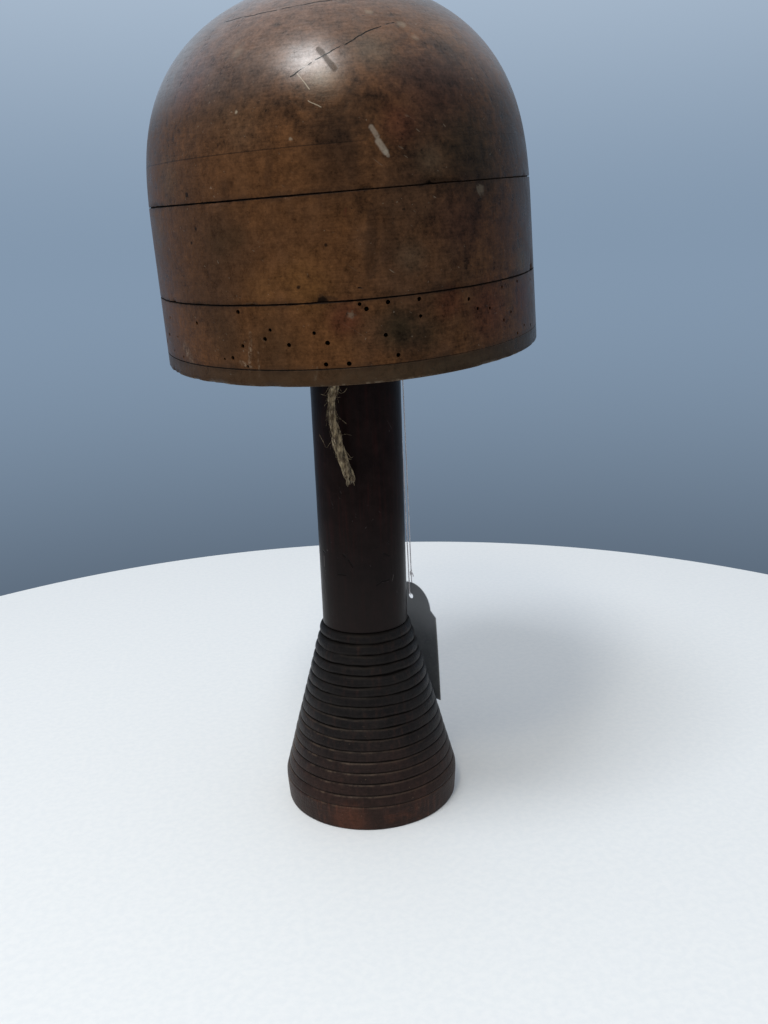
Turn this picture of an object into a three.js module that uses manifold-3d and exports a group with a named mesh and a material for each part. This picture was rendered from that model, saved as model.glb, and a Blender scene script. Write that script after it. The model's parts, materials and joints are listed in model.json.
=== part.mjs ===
import * as THREE from 'three';
import { mergeVertices } from 'three/addons/utils/BufferGeometryUtils.js';
import Module from 'manifold-3d';

const wasm = await Module();
wasm.setup();

// Fits shared by the whole object, in millimetres
const SEAT_GAP = 0.3;
const TURNED_FIT = 0.08;
const OVERRUN = 1.5;

// Foot: a turned flare of beads over a plain band
const FOOT_RIM_R = 43.2;
const RIM_CHAMFER = 0.9;
const BAND_H = 12.9;
const BAND_SWELL = 0.7;
const BAND_ROUND = 1.0;
const BEAD_COUNT = 16;
const GROOVE_PITCH = 5;
const NECK_CROWN_R = 22.3;
const FLARE_CROWN_R = 44.1;
const NECK_GROOVE_DEEP = 1.5;
const FLARE_GROOVE_DEEP = 0.7;
const BEAD_POWER = 2.6;
const BEAD_STEPS = 4;
const FOOT_H = BAND_H + GROOVE_PITCH * BEAD_COUNT;

// Column: a turned post, tenoned into the foot and bored for the peg
const COLUMN_H = 134.68;
const COLUMN_LOW_R = 21.2;
const COLUMN_TOP_R = 21.5;
const COLUMN_EDGE = 0.5;
const TENON_R = 13;
const TENON_L = 30;

// Peg: a loose dowel that turns in the column and carries the block
const PEG_R = 9;
const PEG_EDGE = 1;
const PEG_IN_COLUMN = 30;
const PEG_PROUD = 28;

// Block: an oval crown built up from four boards
const BLOCK_HALF_W = 83.9;
const BLOCK_HALF_D = 102.7;
const BLOCK_H = 150;
const PLAN_POWER = 1.95;
const TAPER_SHARE = 0.0254;
const DOME_SPRING_H = 51.4;
const DOME_POWER = 3.16;
const DOME_ROOT = 1.903;
const LOWER_BOARD_T = 30.5;
const MIDDLE_BOARD_T = 37.2;
const CROWN_BOARD_T = 15.8;
const OPEN_JOINT = 0.3;
const GLUE_LINE = 0.1;
const JOINT_EDGE = 0.4;
const LOWER_EDGE = 1.1;
const STRING_LINE_H = 6.35;
const STRING_LINE_HALF = 0.7;
const STRING_LINE_DEEP = 0.8;
const SOCKET_SLACK = 0.4;
const SOCKET_SPARE = 6;

// Lean of the block on its peg, in degrees, and its shift off the column's axis
const LEAN_FORWARD = 3.72;
const LEAN_LEFT = 3.26;
const BLOCK_SHIFT = -1;

// Twine tail held under the block by a wire staple
const TWINE_R = 2.35;
const TWINE_SIDES = 10;
const TWINE_ROUTE = [
  [3.5, -31, 225.05], [-1, -29.8, 224.8], [-4.46, -28.9, 224.55], [-7.68, -28.05, 223.7],
  [-10.42, -27.3, 221.8], [-11.94, -26.8, 219.8], [-12.9, -26.5, 217.5], [-13.6, -26.2, 212.9],
  [-14.5, -25.8, 207.7], [-14.8, -25.4, 201.2], [-14, -25.3, 195.1], [-13, -25.2, 188.9],
  [-11.5, -25.3, 182.1], [-9.4, -25.6, 175.6], [-8.5, -26, 170.9], [-8.4, -26.1, 168.2],
];

// Wire staples, each at its own place and turn on the block's underside
const WIRE_R = 0.7;
const STAPLE_LEG = 8;
const STAPLE_BEND = 1.5;
const STAPLE_DROP = 2 * TWINE_R + 3 * SEAT_GAP + WIRE_R;
const STAPLE_HALF = TWINE_R + 2 * SEAT_GAP + WIRE_R;
const TWINE_STAPLE_X = -0.2;
const TWINE_STAPLE_Y = -30.05;
const TWINE_STAPLE_TURN = 75;
const TAG_AZIMUTH = 36;
const TAG_STAPLE_REACH = 30.7;

// Swing tag on a loop of thread that hangs from its staple, its lower edge on the flare
const TAG_W = 33.2;
const TAG_T = 0.5;
const TAG_ROUND_R = 13.1;
const TAG_ABOVE_HOLE = 7.6;
const TAG_BELOW_HOLE = 56;
const TAG_HOLE_R = 1.6;
const CARD_TILT = 1.8;
const THREAD_DROP = 130.5;
const THREAD_R = 0.4;
const THREAD_SIDES = 8;
const THREAD_ROUTE = [
  [0.95, -118.5], [0.95, -122], [1, -127], [0.95, -129], [0.6, -129.55], [0, -129.7],
  [-0.6, -129.55], [-0.95, -129], [-1, -127], [-1, -110], [-1.2, -65], [-1.3, -20],
  [-1.4, -2], [-1.4, 0], [-0.99, 0.99], [0, 1.4], [0.99, 0.99], [1.4, 0],
  [1.4, -2], [1.3, -20], [1.2, -65], [1, -100], [0.95, -116.5],
];

// Facet counts
const TURNED_SEGMENTS = 56;
const BLOCK_SEGMENTS = 72;
const DOME_RINGS = 20;
const HOLE_SEGMENTS = 16;
const ARC_SEGMENTS = 8;

const HALF_TURN = Math.PI;
const toRadians = THREE.MathUtils.degToRad;

function material(color, roughness, metalness = 0) {
  return new THREE.MeshStandardMaterial({ color, roughness, metalness });
}

const ebonisedWood = () => material(0x2b1a15, 0.38);
const footWood = () => material(0x3c2018, 0.45);
const crownWood = () => material(0x6d4828, 0.42);
const boardWood = () => material(0x7a4a26, 0.45);
const pegWood = () => material(0x9a7448, 0.6);
const galvanisedWire = () => material(0x8e8f8c, 0.4, 0.9);
const sisalTwine = () => material(0xa98c5f, 0.9);
const cottonThread = () => material(0xe6e1d6, 0.85);
const greyCard = () => material(0x85827c, 0.8);

function piece(name, geometry, finish) {
  const mesh = new THREE.Mesh(geometry, finish);
  mesh.name = name;
  return mesh;
}

function signedVolume(position, index) {
  const a = new THREE.Vector3();
  const b = new THREE.Vector3();
  const c = new THREE.Vector3();
  let sum = 0;
  for (let i = 0; i < index.length; i += 3) {
    a.fromBufferAttribute(position, index[i]);
    b.fromBufferAttribute(position, index[i + 1]);
    c.fromBufferAttribute(position, index[i + 2]);
    sum += a.dot(b.cross(c));
  }
  return sum;
}

// Shares every vertex, drops faces that have shrunk to a line and turns all faces outward
function closed(source) {
  const bare = source.clone();
  bare.deleteAttribute('normal');
  bare.deleteAttribute('uv');
  const merged = mergeVertices(bare);
  const kept = [];
  for (let i = 0; i < merged.index.count; i += 3) {
    const corners = [merged.index.getX(i), merged.index.getX(i + 1), merged.index.getX(i + 2)];
    if (new Set(corners).size === corners.length) kept.push(...corners);
  }
  if (signedVolume(merged.attributes.position, kept) < 0) kept.reverse();
  merged.setIndex(kept);
  return merged;
}

function toSolid(geometry) {
  const whole = closed(geometry);
  return new wasm.Manifold(new wasm.Mesh({
    numProp: 3,
    vertProperties: Float32Array.from(whole.attributes.position.array),
    triVerts: Uint32Array.from(whole.index.array),
  }));
}

function fromSolid(solid) {
  const { vertProperties, triVerts } = solid.getMesh();
  const geometry = new THREE.BufferGeometry();
  geometry.setAttribute('position', new THREE.BufferAttribute(vertProperties, 3));
  geometry.setIndex(new THREE.BufferAttribute(triVerts, 1));
  return geometry;
}

function cut(geometry, cutters) {
  return fromSolid(cutters.reduce((rest, cutter) => rest.subtract(toSolid(cutter)), toSolid(geometry)));
}

// Turns a profile of [radius, height] pairs about the vertical axis
function turned(profile) {
  const points = profile.map(([radius, height]) => new THREE.Vector2(radius, height));
  return closed(new THREE.LatheGeometry(points, TURNED_SEGMENTS).rotateX(HALF_TURN / 2));
}

function drill(radius, low, high, x, y) {
  const rod = new THREE.CylinderGeometry(radius, radius, high - low, HOLE_SEGMENTS).rotateX(HALF_TURN / 2);
  return rod.translate(x, y, (low + high) / 2);
}

function circleSection(radius, sides) {
  const points = [];
  for (let i = 0; i < sides; i += 1) {
    const angle = (2 * HALF_TURN * i) / sides;
    points.push(new THREE.Vector2(radius * Math.cos(angle), radius * Math.sin(angle)));
  }
  return new THREE.Shape(points);
}

// A route that steps evenly from one chosen point to the next, so bends get more steps
class Route extends THREE.CatmullRomCurve3 {
  getPointAt(share, target) {
    return this.getPoint(share, target);
  }

  getTangentAt(share, target) {
    return this.getTangent(share, target);
  }
}

function tube(points, radius, sides, stepsPerPoint) {
  const route = new Route(points, false, 'centripetal');
  const steps = (points.length - 1) * stepsPerPoint;
  const section = circleSection(radius, sides);
  return closed(new THREE.ExtrudeGeometry(section, { steps, bevelEnabled: false, extrudePath: route }));
}

// Foot and column

// How far a height lies down the flare, from 0 at the neck to 1 at the band
function flareShare(height) {
  return (FOOT_H - height) / (FOOT_H - BAND_H);
}

function crownRadius(height) {
  return THREE.MathUtils.lerp(NECK_CROWN_R, FLARE_CROWN_R, flareShare(height));
}

function grooveDepth(height) {
  return THREE.MathUtils.lerp(NECK_GROOVE_DEEP, FLARE_GROOVE_DEEP, flareShare(height));
}

// The beads are round at the neck's deep grooves and shallow towards the band
function beads() {
  const points = [];
  for (let bead = 0; bead < BEAD_COUNT; bead += 1) {
    for (let step = 1; step <= BEAD_STEPS; step += 1) {
      const share = step / BEAD_STEPS;
      const height = BAND_H + GROOVE_PITCH * (bead + share);
      const swell = Math.sqrt(1 - Math.abs(2 * share - 1) ** BEAD_POWER);
      points.push([crownRadius(height) - grooveDepth(height) * (1 - swell), height]);
    }
  }
  return points;
}

function footPiece() {
  const mortise = TENON_R + TURNED_FIT;
  const mortiseFloor = FOOT_H - TENON_L - SEAT_GAP;
  return turned([
    [0, 0],
    [FOOT_RIM_R - RIM_CHAMFER, 0],
    [FOOT_RIM_R, RIM_CHAMFER],
    [FOOT_RIM_R + BAND_SWELL, BAND_H - BAND_ROUND],
    [FLARE_CROWN_R - FLARE_GROOVE_DEEP, BAND_H],
    ...beads(),
    [mortise, FOOT_H],
    [mortise, mortiseFloor],
    [0, mortiseFloor],
  ]);
}

const COLUMN_TOP = FOOT_H + COLUMN_H;
const PEG_FOOT = COLUMN_TOP - PEG_IN_COLUMN;

function columnPiece() {
  const bore = PEG_R + TURNED_FIT;
  return turned([
    [0, FOOT_H - TENON_L],
    [TENON_R, FOOT_H - TENON_L],
    [TENON_R, FOOT_H],
    [COLUMN_LOW_R - COLUMN_EDGE, FOOT_H],
    [COLUMN_LOW_R, FOOT_H + COLUMN_EDGE],
    [COLUMN_TOP_R, COLUMN_TOP - COLUMN_EDGE],
    [COLUMN_TOP_R - COLUMN_EDGE, COLUMN_TOP],
    [bore, COLUMN_TOP],
    [bore, PEG_FOOT],
    [0, PEG_FOOT],
  ]);
}

function pegPiece() {
  const tip = COLUMN_TOP + PEG_PROUD;
  return turned([
    [0, PEG_FOOT],
    [PEG_R - PEG_EDGE, PEG_FOOT],
    [PEG_R, PEG_FOOT + PEG_EDGE],
    [PEG_R, tip - PEG_EDGE],
    [PEG_R - PEG_EDGE, tip],
    [0, tip],
  ]);
}

// Block

const blockGroup = new THREE.Group();
blockGroup.rotation.set(toRadians(LEAN_FORWARD), -toRadians(LEAN_LEFT), 0, 'XYZ');
const blockUp = new THREE.Vector3(0, 0, 1).applyEuler(blockGroup.rotation);
const leanSlope = Math.hypot(blockUp.x, blockUp.y) / blockUp.z;
const rimRise = (COLUMN_TOP_R - COLUMN_EDGE) * leanSlope;
const shiftRise = (blockUp.x / blockUp.z) * BLOCK_SHIFT;
blockGroup.position.set(BLOCK_SHIFT, 0, COLUMN_TOP + SEAT_GAP + rimRise - shiftRise);
blockGroup.updateMatrixWorld(true);

const MIDDLE_FLOOR = LOWER_BOARD_T;
const CROWN_FLOOR = MIDDLE_FLOOR + MIDDLE_BOARD_T;
const CAP_FLOOR = CROWN_FLOOR + CROWN_BOARD_T;
const SOCKET_R = PEG_R + (PEG_PROUD * leanSlope) / 2 + SOCKET_SLACK;
const SOCKET_H = PEG_PROUD + SOCKET_SPARE;

// Scale of the block's plan at a height above its underside
function planScale(height) {
  const wall = 1 - (TAPER_SHARE * height) / BLOCK_H;
  const climb = THREE.MathUtils.clamp((height - DOME_SPRING_H) / (BLOCK_H - DOME_SPRING_H), 0, 1);
  return wall * (1 - climb ** DOME_POWER) ** (1 / DOME_ROOT);
}

function planPoint(angle, halfW, halfD) {
  const along = Math.cos(angle);
  const across = Math.sin(angle);
  const power = 2 / PLAN_POWER;
  return [
    halfW * Math.sign(along) * Math.abs(along) ** power,
    halfD * Math.sign(across) * Math.abs(across) ** power,
  ];
}

// Rings are [height, inset]; the first and last are closed by a fan
function loft(rings) {
  const vertices = [];
  for (const [height, inset] of rings) {
    const scale = planScale(height);
    const halfW = Math.max(BLOCK_HALF_W * scale - inset, 0);
    const halfD = Math.max(BLOCK_HALF_D * scale - inset, 0);
    for (let i = 0; i < BLOCK_SEGMENTS; i += 1) {
      const [x, y] = planPoint((2 * HALF_TURN * i) / BLOCK_SEGMENTS, halfW, halfD);
      vertices.push(x, y, height);
    }
  }
  const low = vertices.length / 3;
  const high = low + 1;
  vertices.push(0, 0, rings[0][0], 0, 0, rings[rings.length - 1][0]);
  const faces = [];
  for (let i = 0; i < BLOCK_SEGMENTS; i += 1) {
    const next = (i + 1) % BLOCK_SEGMENTS;
    for (let ring = 0; ring < rings.length - 1; ring += 1) {
      const here = ring * BLOCK_SEGMENTS;
      const above = here + BLOCK_SEGMENTS;
      faces.push(here + i, here + next, above + next, here + i, above + next, above + i);
    }
    const last = (rings.length - 1) * BLOCK_SEGMENTS;
    faces.push(low, next, i, high, last + i, last + next);
  }
  const geometry = new THREE.BufferGeometry();
  geometry.setAttribute('position', new THREE.Float32BufferAttribute(vertices, 3));
  geometry.setIndex(faces);
  return closed(geometry);
}

// Rings of a board whose two edges are eased where the joints open
function boardRings(low, high) {
  const middle = (low + high) / 2;
  return [
    [low, JOINT_EDGE],
    [low + JOINT_EDGE, 0],
    [middle, 0],
    [high - JOINT_EDGE, 0],
    [high, JOINT_EDGE],
  ];
}

function stapleHoles(x, y, turn) {
  const reach = new THREE.Vector2(STAPLE_HALF, 0).rotateAround(new THREE.Vector2(), toRadians(turn));
  const radius = WIRE_R + SEAT_GAP;
  const top = STAPLE_LEG + SEAT_GAP;
  return [
    drill(radius, -OVERRUN, top, x + reach.x, y + reach.y),
    drill(radius, -OVERRUN, top, x - reach.x, y - reach.y),
  ];
}

const tagStaple = new THREE.Vector2(TAG_STAPLE_REACH, 0).rotateAround(new THREE.Vector2(), toRadians(TAG_AZIMUTH));
const tagStapleX = tagStaple.x - BLOCK_SHIFT;
const tagStapleY = tagStaple.y;
const tagStapleTurn = TAG_AZIMUTH + 90;

// The socket runs square to the underside and crosses the peg at half its height
function socket() {
  const midPeg = new THREE.Vector3(0, 0, COLUMN_TOP + PEG_PROUD / 2);
  blockGroup.worldToLocal(midPeg);
  return drill(SOCKET_R, -OVERRUN, SOCKET_H, midPeg.x, midPeg.y);
}

function lowerBoard() {
  const rings = [
    [0, LOWER_EDGE],
    [LOWER_EDGE, 0],
    [STRING_LINE_H - STRING_LINE_HALF, 0],
    [STRING_LINE_H, STRING_LINE_DEEP],
    [STRING_LINE_H + STRING_LINE_HALF, 0],
    [LOWER_BOARD_T - OPEN_JOINT - JOINT_EDGE, 0],
    [LOWER_BOARD_T - OPEN_JOINT, JOINT_EDGE],
  ];
  return cut(loft(rings), [
    socket(),
    ...stapleHoles(TWINE_STAPLE_X, TWINE_STAPLE_Y, TWINE_STAPLE_TURN),
    ...stapleHoles(tagStapleX, tagStapleY, tagStapleTurn),
  ]);
}

function middleBoard() {
  return cut(loft(boardRings(MIDDLE_FLOOR, CROWN_FLOOR - OPEN_JOINT)), [socket()]);
}

function crownBoard() {
  const high = CAP_FLOOR - GLUE_LINE;
  return loft([
    [CROWN_FLOOR, JOINT_EDGE],
    [CROWN_FLOOR + JOINT_EDGE, 0],
    [(CROWN_FLOOR + high) / 2, 0],
    [high, 0],
  ]);
}

function crownCap() {
  const rings = [];
  const start = Math.asin((CAP_FLOOR - DOME_SPRING_H) / (BLOCK_H - DOME_SPRING_H));
  for (let ring = 0; ring <= DOME_RINGS; ring += 1) {
    const angle = start + (HALF_TURN / 2 - start) * (ring / DOME_RINGS);
    rings.push([DOME_SPRING_H + (BLOCK_H - DOME_SPRING_H) * Math.sin(angle), 0]);
  }
  return loft(rings);
}

// Staples, twine, thread and tag

function staple(x, y, turn) {
  const corner = STAPLE_BEND * (1 - Math.SQRT1_2);
  const half = [
    [STAPLE_HALF, STAPLE_LEG],
    [STAPLE_HALF, -STAPLE_DROP + STAPLE_BEND],
    [STAPLE_HALF - corner, -STAPLE_DROP + corner],
    [STAPLE_HALF - STAPLE_BEND, -STAPLE_DROP],
  ];
  const other = half.map(([across, height]) => [-across, height]).reverse();
  const points = [...half, ...other].map(([across, height]) => new THREE.Vector3(across, 0, height));
  return tube(points, WIRE_R, HOLE_SEGMENTS / 2, 2).rotateZ(toRadians(turn)).translate(x, y, 0);
}

function twineTail() {
  return tube(TWINE_ROUTE.map((point) => new THREE.Vector3(...point)), TWINE_R, TWINE_SIDES, 3);
}

function tagThread() {
  const points = THREAD_ROUTE.map(([out, height]) => new THREE.Vector3(out, 0, height));
  return tube(points, THREAD_R, THREAD_SIDES, 2);
}

function swingTag() {
  const half = TAG_W / 2;
  const roundCentre = TAG_ABOVE_HOLE - TAG_ROUND_R;
  const shoulder = roundCentre - (half - TAG_ROUND_R);
  const outline = new THREE.Shape();
  outline.moveTo(-half, -TAG_BELOW_HOLE);
  outline.lineTo(half, -TAG_BELOW_HOLE);
  outline.lineTo(half, shoulder);
  outline.absarc(0, roundCentre, TAG_ROUND_R, 0, HALF_TURN);
  outline.lineTo(-half, shoulder);
  outline.closePath();
  const hole = new THREE.Path();
  hole.absarc(0, 0, TAG_HOLE_R, 0, 2 * HALF_TURN);
  outline.holes.push(hole);
  const settings = { depth: TAG_T, bevelEnabled: false, curveSegments: ARC_SEGMENTS };
  const plate = new THREE.ExtrudeGeometry(outline, settings).translate(0, 0, -TAG_T / 2);
  const outward = new THREE.Matrix4().makeBasis(
    new THREE.Vector3(0, 1, 0),
    new THREE.Vector3(0, 0, 1),
    new THREE.Vector3(1, 0, 0),
  );
  const card = closed(plate.applyMatrix4(outward)).rotateY(-toRadians(CARD_TILT));
  return card.translate(0, 0, -THREAD_DROP);
}

// The tag's frame hangs from its staple and leans out until the tag meets the flare
function tagFrame() {
  const frame = new THREE.Group();
  frame.position.set(tagStapleX, tagStapleY, -STAPLE_DROP);
  blockGroup.localToWorld(frame.position);
  const length = THREAD_DROP + TAG_BELOW_HOLE;
  const lowEnd = frame.position.z - length;
  const seat = crownRadius(lowEnd) + TAG_T / 2 + SEAT_GAP;
  const kick = TAG_BELOW_HOLE * Math.sin(toRadians(CARD_TILT));
  const reach = Math.hypot(frame.position.x, frame.position.y) + kick;
  const azimuth = Math.atan2(frame.position.y, frame.position.x);
  frame.rotation.set(0, -Math.asin((seat - reach) / length), azimuth, 'ZYX');
  frame.add(piece('tag_thread', tagThread(), cottonThread()));
  frame.add(piece('swing_tag', swingTag(), greyCard()));
  return frame;
}

blockGroup.add(piece('lower_board', lowerBoard(), boardWood()));
blockGroup.add(piece('middle_board', middleBoard(), boardWood()));
blockGroup.add(piece('crown_board', crownBoard(), crownWood()));
blockGroup.add(piece('crown_cap', crownCap(), crownWood()));
blockGroup.add(piece('twine_staple', staple(TWINE_STAPLE_X, TWINE_STAPLE_Y, TWINE_STAPLE_TURN), galvanisedWire()));
blockGroup.add(piece('tag_staple', staple(tagStapleX, tagStapleY, tagStapleTurn), galvanisedWire()));

const hatBlock = new THREE.Group();
hatBlock.add(piece('foot', footPiece(), footWood()));
hatBlock.add(piece('column', columnPiece(), ebonisedWood()));
hatBlock.add(piece('peg', pegPiece(), pegWood()));
hatBlock.add(blockGroup);
hatBlock.add(piece('twine_tail', twineTail(), sisalTwine()));
hatBlock.add(tagFrame());

export default hatBlock;
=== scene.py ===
import json
import math
import random
from functools import reduce

import bpy
from mathutils import Matrix, Vector, noise

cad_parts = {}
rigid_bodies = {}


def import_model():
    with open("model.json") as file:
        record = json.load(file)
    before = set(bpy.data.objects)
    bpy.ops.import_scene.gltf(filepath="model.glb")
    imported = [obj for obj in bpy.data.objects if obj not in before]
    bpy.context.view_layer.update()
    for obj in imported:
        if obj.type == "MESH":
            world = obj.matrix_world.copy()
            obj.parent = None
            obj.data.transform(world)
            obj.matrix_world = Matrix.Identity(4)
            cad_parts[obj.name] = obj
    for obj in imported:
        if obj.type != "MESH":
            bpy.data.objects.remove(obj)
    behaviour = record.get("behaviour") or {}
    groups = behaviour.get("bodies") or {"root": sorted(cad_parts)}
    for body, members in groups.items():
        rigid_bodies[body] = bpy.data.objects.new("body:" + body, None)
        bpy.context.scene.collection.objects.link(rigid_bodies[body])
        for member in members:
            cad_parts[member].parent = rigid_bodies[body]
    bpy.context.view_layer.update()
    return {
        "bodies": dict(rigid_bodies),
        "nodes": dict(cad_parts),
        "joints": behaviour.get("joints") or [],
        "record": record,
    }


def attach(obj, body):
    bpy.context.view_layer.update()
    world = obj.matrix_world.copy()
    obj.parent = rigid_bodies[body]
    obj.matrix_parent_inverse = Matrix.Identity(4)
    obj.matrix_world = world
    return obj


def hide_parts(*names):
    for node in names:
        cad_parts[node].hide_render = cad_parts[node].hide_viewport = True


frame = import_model()

# The foot is one turned billet: a plain band at the bottom, then a flare of ribs that narrows to
# the neck, mortised for the column. It is stained almost black and rubbed back to red low down.
MM = 0.001
TURNED_STEPS = 160
FOOT_RIM_R = 43.2
FOOT_INNER_R = 20
BAND_H = 12.9
RIM_CURVE = [(-0.9, 0), (-0.42, 0.12), (-0.12, 0.42), (0, 0.9), (0.21, 3.5), (0.49, 7.5)]
BAND_ARRIS = [(0.7, -1.3), (0.7, -0.7), (0.55, -0.3)]
RIBS = 16
GROOVE_PITCH = 5.0
FOOT_H = BAND_H + GROOVE_PITCH * RIBS
NECK_CROWN_R = 22.3
FLARE_CROWN_R = 44.1
GROOVE_DEEP_TOP = 1.5
GROOVE_DEEP_LOW = 0.75
RIB_STEPS = 14
RIB_POWER_TOP = 2.2
RIB_POWER_LOW = 4.5
RIB_SHIFTS = (-0.1, 0, 0.4, 0.4, 0.4, 0.4, 0.8, 0.7, 0.7, 0.7, 0.5, 0.1, 0.3, -0.2, -0.2, 0.2, 0)
SCORED_RIBS = (4, 5)
SCORE_STEP = RIB_STEPS - 4
SCORE_DEEP = 0.14
MORTISE_R = 13.08
MORTISE_DEEP = 30.3
MERGE_WITHIN = 0.004
SMOOTH_BELOW = math.radians(34)
turner = random.Random(7)


def clear_selection():
    if bpy.context.object and bpy.context.object.mode != "OBJECT":
        bpy.ops.object.mode_set(mode="OBJECT")
    bpy.ops.object.select_all(action="DESELECT")


def select_only(piece):
    clear_selection()
    piece.select_set(True)
    bpy.context.view_layer.objects.active = piece


def drawn_line(name, points):
    """A piece that is one line through points, in millimetres, and stays in edit mode."""
    clear_selection()
    bpy.ops.mesh.primitive_plane_add(size=MM)
    piece = bpy.context.object
    piece.name = piece.data.name = name
    bpy.ops.object.mode_set(mode="EDIT")
    bpy.ops.mesh.merge(type="CENTER")
    bpy.ops.transform.translate(value=[part * MM for part in points[0]])
    for here, there in zip(points, points[1:]):
        step = [(b - a) * MM for a, b in zip(here, there)]
        bpy.ops.mesh.extrude_region_move(TRANSFORM_OT_translate={"value": step})
    return piece


def close_mesh():
    """Turns every face outwards and leaves edit mode."""
    bpy.ops.mesh.select_all(action="SELECT")
    bpy.ops.mesh.normals_make_consistent(inside=False)
    bpy.ops.object.mode_set(mode="OBJECT")


def turned_piece(name, profile):
    """Spins a profile of (radius, height) pairs, in millimetres, about the column's axis."""
    piece = drawn_line(name, [(radius, 0, height) for radius, height in profile])
    bpy.ops.mesh.select_all(action="SELECT")
    bpy.ops.mesh.spin(steps=TURNED_STEPS, angle=2 * math.pi, center=(0, 0, 0), axis=(0, 0, 1))
    bpy.ops.mesh.select_all(action="SELECT")
    bpy.ops.mesh.remove_doubles(threshold=MERGE_WITHIN * MM)
    close_mesh()
    bpy.ops.object.shade_smooth_by_angle(angle=SMOOTH_BELOW)
    return piece


def foot_share(height):
    return (FOOT_H - height) / (FOOT_H - BAND_H)


def crown_radius(height):
    return NECK_CROWN_R + (FLARE_CROWN_R - NECK_CROWN_R) * foot_share(height)


def groove_depth(height):
    return GROOVE_DEEP_TOP + (GROOVE_DEEP_LOW - GROOVE_DEEP_TOP) * foot_share(height)


def rib_points(low, high, scored):
    """One rounded rib between two grooves; a scored one has a fine line under its top edge."""
    points = []
    for step in range(1, RIB_STEPS + 1):
        share = (1 - math.cos(math.pi * step / RIB_STEPS)) / 2
        height = low + (high - low) * share
        power = RIB_POWER_TOP + (RIB_POWER_LOW - RIB_POWER_TOP) * foot_share(height)
        swell = math.sqrt(max(1 - abs(2 * share - 1) ** power, 0))
        score = SCORE_DEEP if scored and step == SCORE_STEP else 0
        points.append((crown_radius(height) - groove_depth(height) * (1 - swell) - score, height))
    return points


groove_heights = [BAND_H + GROOVE_PITCH * i + shift for i, shift in enumerate(RIB_SHIFTS)]
band_top = groove_heights[0]
foot_profile = [(0, 0), (FOOT_INNER_R, 0)]
foot_profile += [(FOOT_RIM_R + out, height) for out, height in RIM_CURVE]
foot_profile += [(FOOT_RIM_R + out, band_top + rise) for out, rise in BAND_ARRIS]
foot_profile.append((FLARE_CROWN_R - GROOVE_DEEP_LOW, band_top))
for i in range(RIBS):
    foot_profile += rib_points(groove_heights[i], groove_heights[i + 1], i in SCORED_RIBS)
foot_profile += [(MORTISE_R, FOOT_H), (MORTISE_R, FOOT_H - MORTISE_DEEP)]
foot_profile.append((0, FOOT_H - MORTISE_DEEP))
foot = turned_piece("foot_turned", foot_profile)

# Painted on the corners: a highlight where a rib's upper arris catches the light, and shade
# by how deep in a groove a place lies. The rings waver a little, most of all near the neck, as they
# do where an old turner worked by eye.
ARRIS_REACH = 0.5
WAVER_CALM = 6
for painted_name in ("arris", "groove"):
    foot.data.attributes.new(painted_name, "FLOAT", "POINT")
for index, vertex in enumerate(foot.data.vertices):
    height, reach = vertex.co.z / MM, math.hypot(vertex.co.x, vertex.co.y) / MM
    above = [line - height for line in groove_heights if line - height > -0.01]
    below = [height - line for line in groove_heights if height - line > -0.01]
    if not above or reach < MORTISE_R + 2:
        continue
    bright = 1 - abs(min(above) - ARRIS_REACH) / ARRIS_REACH
    foot.data.attributes["arris"].data[index].value = min(max(bright, 0), 1)
    sunk = (crown_radius(height) - reach) / groove_depth(height) if below else 0
    dark = (sunk - 0.1 - 0.16 * foot_share(height)) * 2
    foot.data.attributes["groove"].data[index].value = min(max(dark, 0), 1)
    wobble = noise.noise(vertex.co * 60) * 0.12 + noise.noise(vertex.co * 260) * 0.05
    if below:
        spot = Vector((vertex.co.x * 55, vertex.co.y * 55, len(above) * 0.8))
        waver = noise.noise(spot) * 0.75 + noise.noise(spot * 3) * 0.4
        calm = min((FOOT_H - height) / WAVER_CALM, 1) * min((height - band_top) / WAVER_CALM, 1)
        vertex.co.z += waver * (1.15 - foot_share(height)) * calm * MM
    vertex.co.x += vertex.co.x / (reach * MM) * wobble * MM
    vertex.co.y += vertex.co.y / (reach * MM) * wobble * MM


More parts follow.
